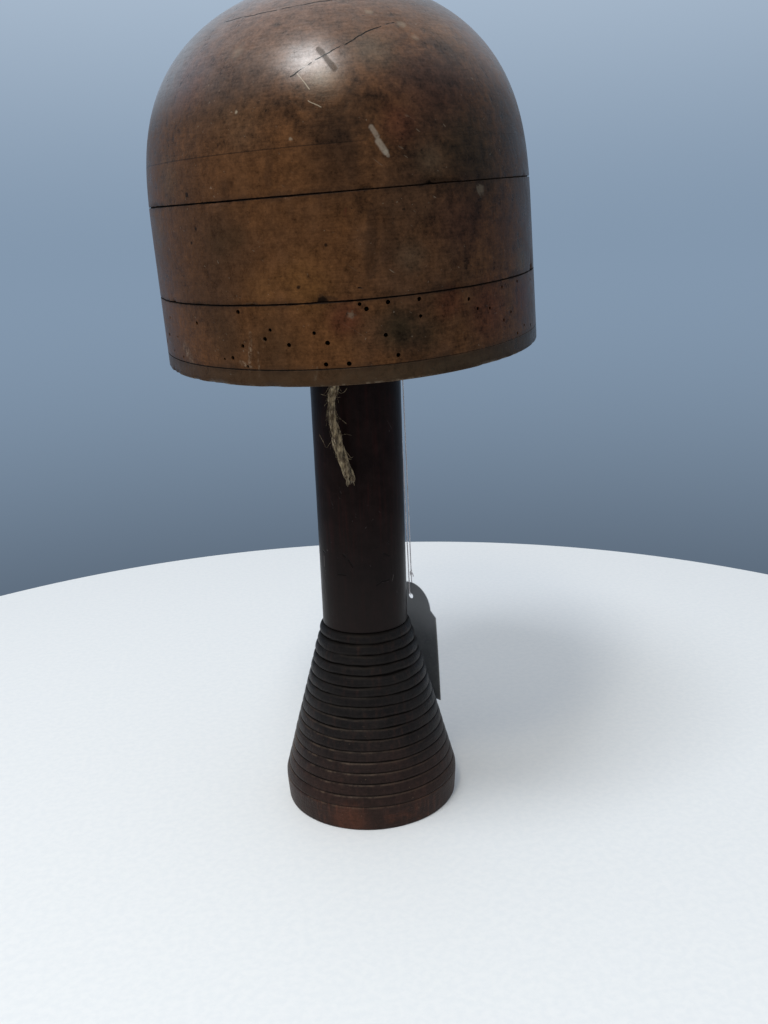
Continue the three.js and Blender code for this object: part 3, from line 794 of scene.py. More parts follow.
# Stains, as centre, reach, colour and strength. The first row, a wide faint darkening of the right
# side, is painted shade.
ZONES = [
    ((62, -62, 60), 75, DARK_WAX_AND_SHADE, 0.12), ((-78, -30, 60), 60, WAX_BROWN, 0.45),
    # The rose row here, high on the crown's left, is a painted sheen.
    ((-20, -55, 136), 45, PAINTED_ROSE_SHEEN, 0.45), ((-14, -96, 91), 20, DARK_WAX_AND_SHADE, 0.55),
    ((-12, -99, 77), 20, DARK_WAX_AND_SHADE, 0.65), ((20, -92, 98), 24, WAX_PURPLE, 0.5),
    ((44, -84, 88), 26, DARK_WAX_AND_SHADE, 0.35), ((14, -99, 74), 12, DARK_WAX_AND_SHADE, 0.35),
    ((-57.6, -52, 112), 18, WAX_RED, 0.4), ((-30.3, -88.4, 95.6), 9, DARK_WAX_AND_SHADE, 0.4),
    ((-2.9, -97.2, 93.1), 12, DARK_WAX_AND_SHADE, 0.45), ((-45, -80, 92), 16, WAX_GREY, 0.15),
    ((30, -86.9, 100.3), 24, WAX_PURPLE, 0.6), ((10, -97.6, 88), 8, WAX_RED, 0.4),
    ((21.4, -96.7, 75.5), 8, WAX_GREY, 0.3), ((38, -88, 75), 24, WAX_OLIVE, 0.7),
    ((60, -66, 80), 24, DARK_WAX_AND_SHADE, 0.5), ((-52.8, -75, 79), 18, WAX_ORANGE, 0.6),
    ((-27, -93, 76), 16, WAX_ORANGE, 0.5), ((-3, -100, 73), 12, WAX_ORANGE, 0.25),
    ((-72, -47, 77), 12, WAX_GREY, 0.3), ((-51, -78, 72.8), 4, DARK_WAX_AND_SHADE, 0.5),
    ((4.8, -87.2, 113.3), 11, WAX_GREY, 0.45), ((37.8, -67.8, 119.3), 14, WAX_GOLD, 0.7),
    ((56, -56, 110), 12, WAX_GOLD, 0.45), ((34, -76, 112), 10, DARK_WAX_AND_SHADE, 0.4),
    ((-79, -29, 58), 14, WAX_GREY, 0.3), ((-67, -56, 45), 12, WAX_ORANGE, 0.3),
    ((-55.3, -74.4, 53.5), 10, WAX_OLIVE, 0.5), ((-48.7, -81.3, 54.9), 6, WAX_OLIVE, 0.45),
    ((-27.5, -95.7, 38), 14, WAX_GOLD, 0.75), ((-42, -87.3, 35.5), 10, WAX_GOLD, 0.45),
    ((-20, -99, 48), 14, WAX_ORANGE, 0.5), ((-15, -99.8, 57), 9, WAX_ORANGE, 0.45),
    ((11, -100.6, 43.5), 8, WAX_GREY, 0.25), ((32.7, -92.7, 55), 18, WAX_PURPLE, 0.7),
    ((52, -79, 50), 18, WAX_PURPLE, 0.45), ((63, -65, 34), 9, WAX_GREY, 0.45),
    ((-74.4, -44.9, 24), 10, WAX_ORANGE, 0.65), ((-58, -72, 18), 14, WAX_OLIVE, 0.4),
    ((-40, -88, 14), 16, WAX_OLIVE, 0.45), ((-22, -98, 22), 10, WAX_ORANGE, 0.4),
    ((-15, -100, 24), 8, WAX_RED, 0.7), ((4, -102, 19), 11, WAX_OLIVE, 0.85),
    ((14, -100.4, 15), 9, WAX_OLIVE, 0.55), ((9.5, -101.3, 10), 8, DARK_WAX_AND_SHADE, 0.4),
    ((25, -96.8, 26), 8, WAX_RED, 0.45), ((43, -86.8, 20), 15, WAX_RED, 0.5),
    ((62, -67, 22), 13, WAX_RED, 0.45), ((37, -89, 73), 18, DARK_WAX_AND_SHADE, 0.35),
]
SHADES = [
    ((-2.6, -101.4, 59), (-4.2, -101.7, 40), 2.4, DARK_WAX_AND_SHADE, 0.5),
    ((3.8, -101.5, 60), (2.5, -101.5, 46), 3.6, DARK_WAX_AND_SHADE, 0.35),
    ((-35.2, -89.8, 84), (-36.5, -90.5, 72), 2.2, DARK_WAX_AND_SHADE, 0.45),
    ((-7.4, -99.6, 82), (-7.6, -99.8, 72), 2.0, DARK_WAX_AND_SHADE, 0.4),
    # Painted shade: the next row is a dark band just above the lower joint on the right.
    ((20, -99, 32), (60, -70, 32), 2.0, DARK_WAX_AND_SHADE, 0.55),
    ((-22.4, -97.6, 32.6), (-17, -99.5, 31.4), 0.9, DARK_WAX_AND_SHADE, 0.6),
    ((-48.5, -82.3, 20), (-50.4, -80.4, 5), 1.1, DUST, 0.3),
    ((-46.5, -84, 13), (-46.8, -83.6, 4), 0.7, DUST, 0.3),
    ((-74.4, -45.4, 12), (-72, -50, 7), 2.6, DUST, 0.35),
    ((-53, -77.8, 9), (-49, -81, 7), 1.4, DUST, 0.4),
    ((-26.1, -96.5, 7), (-27.6, -96.4, 2.6), 0.8, DUST, 0.45),
    ((-11.0, -100.1, 61.8), (-11.3, -100.1, 58.8), 0.8, WAX_RED, 0.8),
    ((-13.6, -100.5, 26.4), (-15.2, -100.2, 23.4), 0.6, DARK_WAX_AND_SHADE, 0.7),
    ((-11.4, -100.8, 25.6), (-12.4, -100.7, 24.6), 0.6, DARK_WAX_AND_SHADE, 0.6),
    ((-66.6, -57.5, 72.8), (-65.3, -60.1, 70.9), 0.5, DARK_MARK_AND_RECESS_SHADE, 0.7),
    ((16, -99.3, 67.3), (22.4, -98, 67.6), 0.8, DARK_MARK_AND_RECESS_SHADE, 0.8),
    ((-82.3, -15.7, 31.6), (-78.4, -33.5, 30.9), 0.5, DARK_MARK_AND_RECESS_SHADE, 0.8),
    ((12.6, -100.3, 18), (13.2, -100.2, 13), 0.3, DUST, 0.25),
]
SMUDGES = [
    ((7, -74, 127), 1.8, 0.3), ((18, -77, 122), 1.9, 0.3), ((22, -80, 117), 1.6, 0.22),
    ((-44, -79, 97), 0.7, 0.75), ((-27, -93, 86), 0.75, 0.5), ((41, -87, 64), 2.4, 0.25),
    ((-12.7, -101, 25.3), 1.6, 0.25), ((-40, -67, 117), 3.0, 0.18), ((-32, -66, 121), 2.4, 0.16),
]
CHALK_MARKS = [
    ((0.4, -98.9, 87.6), (2.0, -99.4, 84.6), 1.25, 0.5),
    ((2.3, -99.8, 82.9), (4.4, -100.1, 79.4), 1.5, 0.65),
    ((4.4, -100.1, 79.4), (5.3, -100.2, 78.0), 0.9, 0.5),
]
SPECKS = [
    ((-65.2, -60.8, 71.0), 1.4), ((-63.6, -64.0, 58.6), 1.0), ((-65.9, -60.6, 53.6), 0.8),
    ((-29.9, -94.7, 36.3), 0.9), ((-19.1, -98.8, 50.2), 0.8),
]
CRACKS = [
    (0.42, [(-46, -37, 130.5), (-41.3, -46.3, 131.0), (-32.7, -55.5, 131.1), (-24.3, -61.2, 131.4),
            (-14.7, -64.9, 132.0), (-4, -66.4, 133.0)]),
    (0.34, [(-24.2, -86.8, 106.5), (-12.5, -87.2, 112.1), (-3.3, -85.8, 115.9), (5.7, -82.1, 119.9),
            (15.1, -77.1, 122.8)]),
    (0.35, [(-9, -101.2, 34.6), (-3.7, -101.8, 33.5), (-0.6, -101.9, 31.4)]),
]
SCRATCHES = [
    ((-22.0, -87.2, 107.3), (-18.7, -91.4, 101.6), 0.26),
    ((-19.7, -92.6, 97.8), (-15.7, -94.7, 95.4), 0.24),
]
DENT = ((-13.4, -84.9, 114.9), (-9.4, -90.7, 107.5), 1.4)
DARK_LINES = [
    (LOWER_TOP - OPEN_JOINT / 2, 0.36, 0.8), (MIDDLE_TOP - OPEN_JOINT / 2, 0.36, 0.35),
    (STRING_LINE_H, 0.24, 0.3),
]
WIDE_SHADE = 1.5


def block_finish():
    material, shader, object_place = new_finish("waxed_block")
    place = object_place.before(block_place)
    across, height = place.in_mm(0), place.in_mm(2)
    blotches = place.grain(24, 5, 0.6)
    mottle = place.grain(95, 6, 0.65)
    spots = place.grain(260, 5, 0.65)
    grit = place.grain(900, 4, 0.7)
    upright = place.stretched(1, 1, 0.1).grain(420, 4, 0.6)
    level = place.stretched(0.1, 0.1, 1).grain(1300, 4, 0.65)
    wavering = shaken(place, 260.0, 0.7)
    drifting = shaken(place, 110.0, 3.0)
    crumbling = shaken(place, 700.0, 0.25)

    # The wax: browns that run into each other, then the stains of the seen side, one by one. A few
    # rows are painted light: shade on the right side and above the lower joint on the right, and a
    # rose sheen high on the crown's left.
    wood = blotches.between(0.3, 0.7).blend(WAX_ORANGE, WAX_BROWN)
    wood = (blotches.between(0.45, 0.75) * 0.4).blend(wood, DARK_WAX_AND_SHADE)
    for centre, reach, hue, strength in ZONES:
        away = place.near(centre, reach) + (mottle - 0.5) * 0.8 + (spots - 0.5) * 0.5
        wood = (away.between(1.15, 0.15) * strength).blend(wood, hue)
    for start, end, half, hue, strength in SHADES:
        route, half = (drifting, half * 1.3) if half > WIDE_SHADE else (wavering, half)
        shade = stroke(route, start, end, half) * spots.between(0.25, 0.6)
        if hue is DUST:
            shade = shade * grit.between(0.4, 0.62)
        wood = (shade * strength).blend(wood, hue)
    cloudy = (mottle - 0.5) * 1.5 + (spots - 0.5) * 2.0 + (grit - 0.5) * 1.6
    wood = wood.shaded((1 + cloudy + (level - 0.5) * 0.9 + (upright - 0.5) * 0.5).most(0.2))
    wood = (place.grain(640, 2, 0.5).between(0.7, 0.76) * 0.6).blend(wood, DARK_MARK_AND_RECESS_SHADE)

    # Dirt low down, the greyer strip under the string line, and the faint glue line.
    dirt = height.between(6.5, 5.5) * spots.between(0.35, 0.6)
    dirt = dirt + height.between(9.0, 2.0) * mottle.between(0.4, 0.6)
    wood = (dirt * 0.25).blend(wood, WAX_GREY)
    strip = height.between(6.6, 5.9)
    wood = (strip * 0.4).blend(wood, WAX_GREY).shaded(1 - strip * 0.42)
    wood = (height.between(1.0, 0.2) * spots.between(0.5, 0.62) * 0.35).blend(wood, DUST)
    below_glue = height.between(CROWN_BOARD_TOP + 0.3, CROWN_BOARD_TOP - 0.3)
    wood = (below_glue * across.between(10, -40) * 0.22).blend(wood, WAX_ORANGE)
    glue = (height - CROWN_BOARD_TOP).size().between(0.3, 0.1) * across.between(10, -20)
    wood = (glue * 0.5).blend(wood, DARK_MARK_AND_RECESS_SHADE)

    # Marks of use: smudges, chalk, specks, cracks, scratches, the dent and fine nicks.
    for centre, reach, strength in SMUDGES:
        away = place.near(centre, reach) + (grit - 0.5) * 2.4
        wood = (away.between(1.2, 0.3) * strength).blend(wood, DUST)
    for start, end, half, strength in CHALK_MARKS:
        mark = stroke(crumbling, start, end, half) * grit.between(0.1, 0.5)
        wood = (mark * strength).blend(wood, CHALK)
    for centre, reach in SPECKS:
        away = place.near(centre, reach) + (grit - 0.5) * 0.8
        wood = (away.between(1.0, 0.4) * 0.8).blend(wood, DARK_MARK_AND_RECESS_SHADE)
    cracks = reduce(Wire.most, [
        stroke(wavering, start, end, half)
        for half, route in CRACKS for start, end in zip(route, route[1:])
    ])
    pale = reduce(Wire.most, [stroke(crumbling, *scratch) for scratch in SCRATCHES])
    dent = stroke(wavering, *DENT)
    wood = (pale * 0.8).blend(wood, DUST)
    wood = (dent * spots.between(0.2, 0.5) * 0.75).blend(wood, DENT_GREY)
    wood = (cracks * 0.92).blend(wood, DARK_MARK_AND_RECESS_SHADE)
    nicks = scratches(place, (0.3, 0.9, 0.2), 700, (0.2, 0.1, 0.0)) * blotches.between(0.4, 0.6)
    crossing = scratches(place, (1.2, -0.3, 0.6), 900, (0.0, 0.4, 0.1))
    nicks = nicks.most(crossing * mottle.between(0.45, 0.6))
    wood = (nicks * 0.25).blend(wood, DUST)

    # Dirt in the open joints and the string line, heavier on the left.
    left = across.between(45, -45)
    seams = []
    for joint, half, right_share in DARK_LINES:
        away = (height - joint).size()
        shut = (away / half + (spots - 0.5) * 1.6).between(1.3, 0.8)
        seams.append(shut * (left * (1 - right_share) + right_share))
        wood = (away.between(2.6, 0.5) * mottle.between(0.4, 0.6) * 0.4).blend(wood, DARK_WAX_AND_SHADE)
    grime = reduce(Wire.most, seams)
    wood = (grime * 0.93).blend(wood, DARK_MARK_AND_RECESS_SHADE)

    # Faces inside the wall are painted dark as shade, and the underside is bare end wood.
    wide = (across / BLOCK_HALF_W).size() ** PLAN_POWER
    deep = (place.in_mm(1) / BLOCK_HALF_D).size() ** PLAN_POWER
    reach = (wide + deep) ** (1 / PLAN_POWER)
    climb = ((height - DOME_SPRING) / (BLOCK_H - DOME_SPRING)).clamped()
    wall = (1 - height * (TAPER / BLOCK_H)) * ((1 - climb ** DOME_POWER) ** (1 / DOME_ROOT))
    recess_shade = ((wall - reach) * BLOCK_HALF_W).between(0.5, 0.8)
    underside = height.between(0.25, 0.05)
    wood = (recess_shade * 0.85).blend(wood, DARK_MARK_AND_RECESS_SHADE)
    wood = (underside * 0.8).blend(wood, upright.between(0.35, 0.7).blend(BARE_PALE, BARE_DARK))

    # The crown is polished by handling, which is where it shines.
    polished = height.between(94, 117) * (across.between(70, -25) * 0.65 + 0.4)
    polished = polished * (1 + (mottle - 0.5) * 1.2 + (grit - 0.5) * 1.2 + (level - 0.5))
    polished = polished * (1 - (cracks * 0.8).most(dent * 0.75))
    rough = (mottle - 0.5) * 0.3 + (spots - 0.5) * 0.25 + (grit - 0.5) * 0.15
    relief = mottle * 0.7 + spots * 0.3 + grit * 0.1 + level * 0.1
    feed(shader, {
        "Base Color": wood,
        "Roughness": rough + (recess_shade + underside + grime) * 0.4 + 0.33,
        "Coat Weight": polished,
        "Normal": bump(relief - cracks * 1.6 - dent * 0.25 - nicks * 0.3, 0.4),
    })
    shader.inputs["Coat Roughness"].default_value = 0.32
    warm_gloss(shader, 0.08)
    return material


block_material = block_finish()
for board, node, slot in (
    (lower_board, "lower_board", "board"), (middle_board, "middle_board", "board"),
    (crown_board, "crown_board", "crown"), (cap, "crown_cap", "crown"),
):
    board.data.materials.clear()
    board.data.materials.append(block_material)
    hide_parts(node)
    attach(board, "block")

# Each cord hangs from a staple: bright galvanised wire, bent square and driven into the
# underside of the lower board, one for the twine and one for the thread of the tag.
WIRE_R = 0.7
WIRE_SIDES = 14
STAPLE_LEG = 8.0
STAPLE_BEND = 1.5
STAPLE_DROP = 6.3
STAPLE_HALF = 3.65
BEND_STEPS = 8
TWINE_STAPLE = (-0.2, -30.05, 75.0)
TAG_STAPLE = (25.837, 18.045, 126.0)


def staple_piece(name):
    """A ring of wire drawn down one leg, round two corners and up the other leg."""
    clear_selection()
    start = (-STAPLE_HALF * MM, 0, STAPLE_LEG * MM)
    bpy.ops.mesh.primitive_circle_add(
        vertices=WIRE_SIDES, radius=WIRE_R * MM, fill_type="NGON", location=start
    )
    piece = bpy.context.object
    piece.name = piece.data.name = name
    bpy.ops.object.transform_apply()
    bpy.ops.object.mode_set(mode="EDIT")
    leg = (STAPLE_LEG + STAPLE_DROP - STAPLE_BEND) * MM
    corner = (STAPLE_HALF - STAPLE_BEND) * MM
    bend_at = (STAPLE_BEND - STAPLE_DROP) * MM
    for straight, turn_x in (((0, 0, -leg), -corner), ((2 * corner, 0, 0), corner)):
        bpy.ops.mesh.extrude_region_move(TRANSFORM_OT_translate={"value": straight})
        bpy.ops.mesh.spin(
            steps=BEND_STEPS, angle=-math.pi / 2, center=(turn_x, 0, bend_at), axis=(0, 1, 0)
        )
    bpy.ops.mesh.extrude_region_move(TRANSFORM_OT_translate={"value": (0, 0, leg)})
    close_mesh()
    bpy.ops.object.shade_smooth_by_angle(angle=SMOOTH_BELOW)
    return piece


ZINC_PALE = colour(150, 150, 148)
ZINC_DULL = colour(106, 106, 104)
RUST = colour(96, 62, 40)


def wire_finish():
    material, shader, place = new_finish("galvanised_wire")
    spangle = place.grain(900, 4, 0.6)
    rust = place.grain(400, 5, 0.65).between(0.58, 0.7)
    zinc = spangle.between(0.3, 0.7).blend(ZINC_PALE, ZINC_DULL)
    feed(shader, {
        "Base Color": (rust * 0.7).blend(zinc, RUST),
        "Metallic": (1 - rust) * 0.9,
        "Roughness": spangle * 0.3 + rust * 0.3 + 0.25,
        "Normal": bump(spangle, 0.05),
    })
    return material


wire = wire_finish()
for staple_name, staple_at in (("twine_staple", TWINE_STAPLE), ("tag_staple", TAG_STAPLE)):
    staple_x, staple_y, staple_angle = staple_at
    staple = staple_piece(staple_name + "_wire")
    staple.data.transform(Matrix.Rotation(math.radians(staple_angle), 4, "Z"))
    staple.data.transform(Matrix.Translation((staple_x * MM, staple_y * MM, 0)))
    staple.data.transform(block_place)
    staple.data.materials.append(wire)
    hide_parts(staple_name)
    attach(staple, "block")

# The twine is a short tail of three-strand sisal. It is held behind the front staple, bends
# down over its own end and hangs past the column, with its cut end gone to fibres.
TWINE_ROUTE = [
    (3.5, -31, 225.05), (-1, -29.8, 224.8), (-4.46, -28.9, 224.55), (-7.68, -28.05, 223.7),
    (-10.42, -27.3, 221.8), (-11.94, -26.8, 219.8), (-12.9, -26.5, 217.5), (-13.6, -26.2, 212.9),
    (-14.5, -25.8, 207.7), (-14.8, -25.4, 201.2), (-14, -25.3, 195.1), (-13, -25.2, 188.9),
    (-11.5, -25.3, 182.1), (-9.4, -25.6, 175.6), (-8.5, -26, 170.9), (-8.4, -26.1, 168.2),
]
TWINE_STEP = 0.5
YARN_OFFSET = 1.16
YARN_R = 1.02
TWINE_GIRTHS = [
    (160, 5.0), (168, 5.0), (172, 5.2), (178, 4.5), (185, 4.8), (191, 4.8), (197, 3.1), (206, 3.0),
    (211, 3.9), (216, 4.8), (240, 4.8),
]
YARN_PITCH = 31.0
YARN_PHASE = 2.2
YARN_CUTS = (3.0, 0.0, 1.2)
YARN_FLARES = (0.9, 0.2, 0.35)
YARN_SIDES = 14
FLARE_LENGTH = 7.0
STRANDS = 34
STRAND_TWIST = (0.02, 0.07)
STRAND_LOOSE = (-0.02, 0.2)
STRAND_THICK = (0.08, 0.18)
FUZZ = 170
END_FIBRES = 16
HAIR_STOPS = 5
FUZZ_LIFTS = (0.3, 0.5, 0.8, 1.2, 2.2)
FUZZ_ROOT = 1.9
FUZZ_RADII = (0.045, 0.042, 0.04, 0.035, 0.025)
END_RADII = (0.1, 0.1, 0.09, 0.08, 0.04)
LONG_R = 0.065
LONG_TIP_R = 0.03
LONG_HAIRS = [
    [(-15.2, -26.0, 189.6), (-16.6, -27.0, 187.9), (-18.3, -27.4, 186.2),
     (-19.8, -27.4, 189.4), (-21.2, -27.0, 192.5)],
    [(-12.6, -26.0, 189.6), (-11.6, -27.0, 191.0), (-9.3, -27.4, 191.8), (-6.5, -27.0, 190.9)],
    [(-13.6, -26.0, 199.6), (-12.4, -27.0, 199.2), (-10.8, -27.2, 198.3), (-8.7, -27.0, 196.4)],
    [(-11.6, -26.0, 186.6), (-10.0, -27.0, 184.9), (-8.2, -27.6, 182.0),
     (-7.3, -27.4, 180.7), (-6.2, -27.0, 181.3)],
    [(-11.0, -26.0, 183.0), (-9.5, -27.0, 181.7), (-8.2, -27.4, 180.4), (-7.1, -27.0, 179.9)],
    [(-13.9, -26.0, 208.6), (-15.0, -27.0, 209.0), (-16.7, -27.2, 209.4), (-19.7, -27.0, 210.3)],
    [(-13.8, -26.0, 208.9), (-12.2, -27.0, 208.4), (-10.6, -27.0, 208.5)],
    [(-13.4, -26.4, 212.0), (-12.2, -27.6, 211.3), (-10.4, -28.0, 210.3),
     (-9.1, -27.6, 210.7), (-7.7, -27.0, 212.4)],
]
sisal = random.Random(41)


def smooth_route(stops, steps):
    """A curve through the stops in the spacing of the CAD route, as points in metres."""
    stops = [Vector(stop) * MM for stop in stops]
    padded = [stops[0] * 2 - stops[1]] + stops + [stops[-1] * 2 - stops[-2]]
    line = []
    for before, start, end, after in zip(padded, padded[1:], padded[2:], padded[3:]):
        spans = ((before, start), (start, end), (end, after))
        t0, t1, t2 = (math.sqrt((b - a).length) for a, b in spans)
        leave = (end - start) + ((start - before) / t0 - (end - before) / (t0 + t1)) * t1
        reach = (end - start) + ((after - end) / t2 - (after - start) / (t1 + t2)) * t1
        for i in range(steps):
            t = i / steps
            from_start = start * (2 * t ** 3 - 3 * t ** 2 + 1) + leave * (t ** 3 - 2 * t ** 2 + t)
            line.append(from_start + end * (3 * t ** 2 - 2 * t ** 3) + reach * (t ** 3 - t ** 2))
    return line + [stops[-1]]


def even_route(line, spacing):
    """The same curve in even steps."""
    total = sum((b - a).length for a, b in zip(line, line[1:]))
    count = max(2, round(total / spacing))
    points, walked, index = [line[0]], 0.0, 0
    for i in range(1, count):
        target = total * i / count
        while walked + (line[index + 1] - line[index]).length < target:
            walked += (line[index + 1] - line[index]).length
            index += 1
        piece = line[index + 1] - line[index]
        points.append(line[index] + piece * ((target - walked) / piece.length))
    return points + [line[-1]], total


def frames_along(line):
    """At each point of a line its two side directions, carried along without twist."""
    ends = zip([line[0]] + line[:-1], line[1:] + [line[-1]])
    tangents = [(after - before).normalized() for before, after in ends]
    side = tangents[0].orthogonal().normalized()
    sides = []
    for tangent in tangents:
        side = (side - tangent * side.dot(tangent)).normalized()
        sides.append((side, tangent.cross(side)))
    return sides


def beside(point, sides, angle, reach):
    """The place at an angle round a point of a line, at a distance in metres."""
    across, up = sides
    return point + (across * math.cos(angle) + up * math.sin(angle)) * reach


def add_tube(vertices, faces, line, radii, sides):
    """Adds a closed tube along a line, to lists that from_pydata takes."""
    first = len(vertices)
    for point, radius, frame in zip(line, radii, frames_along(line)):
        for i in range(sides):
            vertices.append(beside(point, frame, 2 * math.pi * i / sides, radius))
    for ring in range(len(line) - 1):
        here = first + ring * sides
        for i in range(sides):
            after = (i + 1) % sides
            faces.append((here + i, here + after, here + sides + after, here + sides + i))
    faces.append(tuple(first + i for i in reversed(range(sides))))
    last = first + (len(line) - 1) * sides
    faces.append(tuple(last + i for i in range(sides)))


def mesh_piece(name, vertices, faces):
    mesh = bpy.data.meshes.new(name)
    mesh.from_pydata(vertices, [], faces)
    mesh.validate()
    piece = bpy.data.objects.new(name, mesh)
    bpy.context.scene.collection.objects.link(piece)
    select_only(piece)
    bpy.ops.object.shade_smooth_by_angle(angle=math.radians(60))
    return piece


twine_line, twine_length = even_route(smooth_route(TWINE_ROUTE, 12), TWINE_STEP * MM)
twine_frames = frames_along(twine_line)
twine_mm = twine_length / MM
last = len(twine_line) - 1


def twine_spot(index, angle, reach):
    return beside(twine_line[index], twine_frames[index], angle, reach * MM)


def yarn_angle(yarn, walked):
    unevenness = noise.noise(Vector((walked * 0.12, yarn * 7.0, 0))) * 0.5
    return 2 * math.pi * (walked / YARN_PITCH + yarn / 3) + YARN_PHASE + unevenness


def girth_at(height):
    """How thick the tail is at a height, as a share of its full lay."""
    for (low, low_girth), (high, high_girth) in zip(TWINE_GIRTHS, TWINE_GIRTHS[1:]):
        if low <= height <= high:
            girth = low_girth + (high_girth - low_girth) * (height - low) / (high - low)
            return girth / 2 / (YARN_OFFSET + YARN_R)


def strand_on(yarn_line, yarn_sides, yarn_radii):
    """One thin strand that lies on a yarn and may stand off it a little in the middle."""
    start = sisal.randrange(0, len(yarn_line) - 30)
    end = min(len(yarn_line) - 1, start + sisal.randrange(26, 70))
    if sisal.random() < 0.3:
        end = len(yarn_line) - 1
    angle, twist = sisal.uniform(0, 2 * math.pi), sisal.uniform(*STRAND_TWIST)
    loose = sisal.uniform(*STRAND_LOOSE)
    strand = []
    for i in range(start, end + 1, 2):
        off = loose * math.sin(math.pi * (i - start) / (end - start)) * MM
        turned = angle + twist * (i - start)
        strand.append(beside(yarn_line[i], yarn_sides[i], turned, yarn_radii[i] + off))
    thick = sisal.uniform(*STRAND_THICK) * MM
    return strand, [thick * 0.5] + [thick] * (len(strand) - 2) + [thick * 0.5]


twine_vertices, twine_faces, twine_depths = [], [], []
strand_vertices, strand_faces = [], []
by_side = sorted(range(3), key=lambda yarn: twine_spot(last, yarn_angle(yarn, twine_mm), 1).x)
for yarn in range(3):
    cut, flare = YARN_CUTS[by_side.index(yarn)], YARN_FLARES[by_side.index(yarn)]
    yarn_line, yarn_radii, girths = [], [], []
    for i, point in enumerate(twine_line):
        walked = twine_mm * i / last
        left = twine_mm - walked - cut
        if left < 0:
            break
        open_end = max(1 - left / FLARE_LENGTH, 0)
        girth = girth_at(point.z / MM)
        reach = YARN_OFFSET * girth * (1 + flare * open_end ** 2)
        yarn_line.append(twine_spot(i, yarn_angle(yarn, walked), reach))
        swell = 1 + 0.2 * noise.noise(Vector((walked * 0.35, yarn * 3.0, 5)))
        yarn_radii.append(YARN_R * girth * MM * swell * (1 - 0.15 * open_end))
        girths.append(girth * MM)
    first = len(twine_vertices)
    add_tube(twine_vertices, twine_faces, yarn_line, yarn_radii, YARN_SIDES)
    for index, vertex in enumerate(twine_vertices[first:]):
        middle = index // YARN_SIDES
        twine_depths.append((vertex - twine_line[middle]).length / girths[middle])
    yarn_sides = frames_along(yarn_line)
    for _ in range(STRANDS):
        strand, thicknesses = strand_on(yarn_line, yarn_sides, yarn_radii)
        add_tube(strand_vertices, strand_faces, strand, thicknesses, 5)
twine = mesh_piece("twine_yarns", twine_vertices, twine_faces)
strands = mesh_piece("twine_strands", strand_vertices, strand_faces)
twine.data.attributes.new("outer", "FLOAT", "POINT")
for index, depth in enumerate(twine_depths):
    twine.data.attributes["outer"].data[index].value = depth

fuzz_vertices, fuzz_faces = [], []
for _ in range(FUZZ):
    start = sisal.randrange(10, len(twine_line) - 14)
    angle = sisal.uniform(0, 2 * math.pi)
    lift = sisal.choice(FUZZ_LIFTS) * sisal.uniform(0.5, 1.2)
    steps = sisal.randrange(5, 13)
    curl = sisal.uniform(-0.18, 0.18)
    hair = []
    for i in range(HAIR_STOPS):
        share = i / (HAIR_STOPS - 1)
        spot = min(int(start + steps * share), last)
        hair.append(twine_spot(spot, angle + curl * i, FUZZ_ROOT + lift * share ** 1.6))
    add_tube(fuzz_vertices, fuzz_faces, hair, [radius * MM for radius in FUZZ_RADII], 4)
for _ in range(END_FIBRES):
    angle = sisal.uniform(0, 2 * math.pi)
    out, flare, drop = sisal.uniform(0.2, 1.9), sisal.uniform(-0.2, 0.9), sisal.uniform(1.0, 3.6)
    hair = []
    for i in range(HAIR_STOPS):
        share = i / (HAIR_STOPS - 1)
        base = twine_spot(last - 5, angle, out + flare * share ** 1.5)
        hair.append(base + Vector((0, 0, -drop * share * MM)))
    add_tube(fuzz_vertices, fuzz_faces, hair, [radius * MM for radius in END_RADII], 5)
for stops in LONG_HAIRS:
    hair, _ = even_route(smooth_route(stops, 6), TWINE_STEP * MM)
    radii = [LONG_R * MM] * (len(hair) - 1) + [LONG_TIP_R * MM]
    add_tube(fuzz_vertices, fuzz_faces, hair, radii, 5)
fuzz = mesh_piece("twine_fibres", fuzz_vertices, fuzz_faces)

STRAW = colour(170, 152, 120)
STRAW_DARK = colour(82, 66, 46)
STRAW_PALE = colour(208, 192, 162)
STRAW_LAY_SHADE = colour(30, 24, 17)


def sisal_finish(laid):
    """A finish for yarns, with painted shade in the lay between them, or for fibres on them."""
    material, shader, place = new_finish("sisal_yarn" if laid else "sisal_fibre")
    strand = place.stretched(1, 1, 0.16).grain(1700, 4, 0.6)
    soil = place.stretched(1, 1, 0.5).grain(420, 5, 0.65)
    fibres = place.stretched(1, 1, 0.1).grain(3600, 2, 0.6)
    straw = soil.between(0.42, 0.56).blend(STRAW, STRAW_DARK)
    straw = (strand.between(0.5, 0.7) * 0.8).blend(straw, STRAW_PALE)
    straw = (fibres.between(0.45, 0.65) * 0.6).blend(straw, STRAW_DARK)
    if laid:
        # Painted shade: the yarns darken towards the lay between them.
        straw = place.painted("outer").between(1.95, 1.25).blend(straw, STRAW_LAY_SHADE)
    feed(shader, {
        "Base Color": straw,
        "Roughness": soil * 0.2 + 0.7,
        "Normal": bump(strand + fibres, 0.35),
    })
    return material


sisal_yarn, sisal_fibre = sisal_finish(True), sisal_finish(False)
for sisal_piece in (twine, strands, fuzz):
    sisal_piece.data.materials.append(sisal_yarn if sisal_piece == twine else sisal_fibre)
    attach(sisal_piece, "block")
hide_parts("twine_tail")

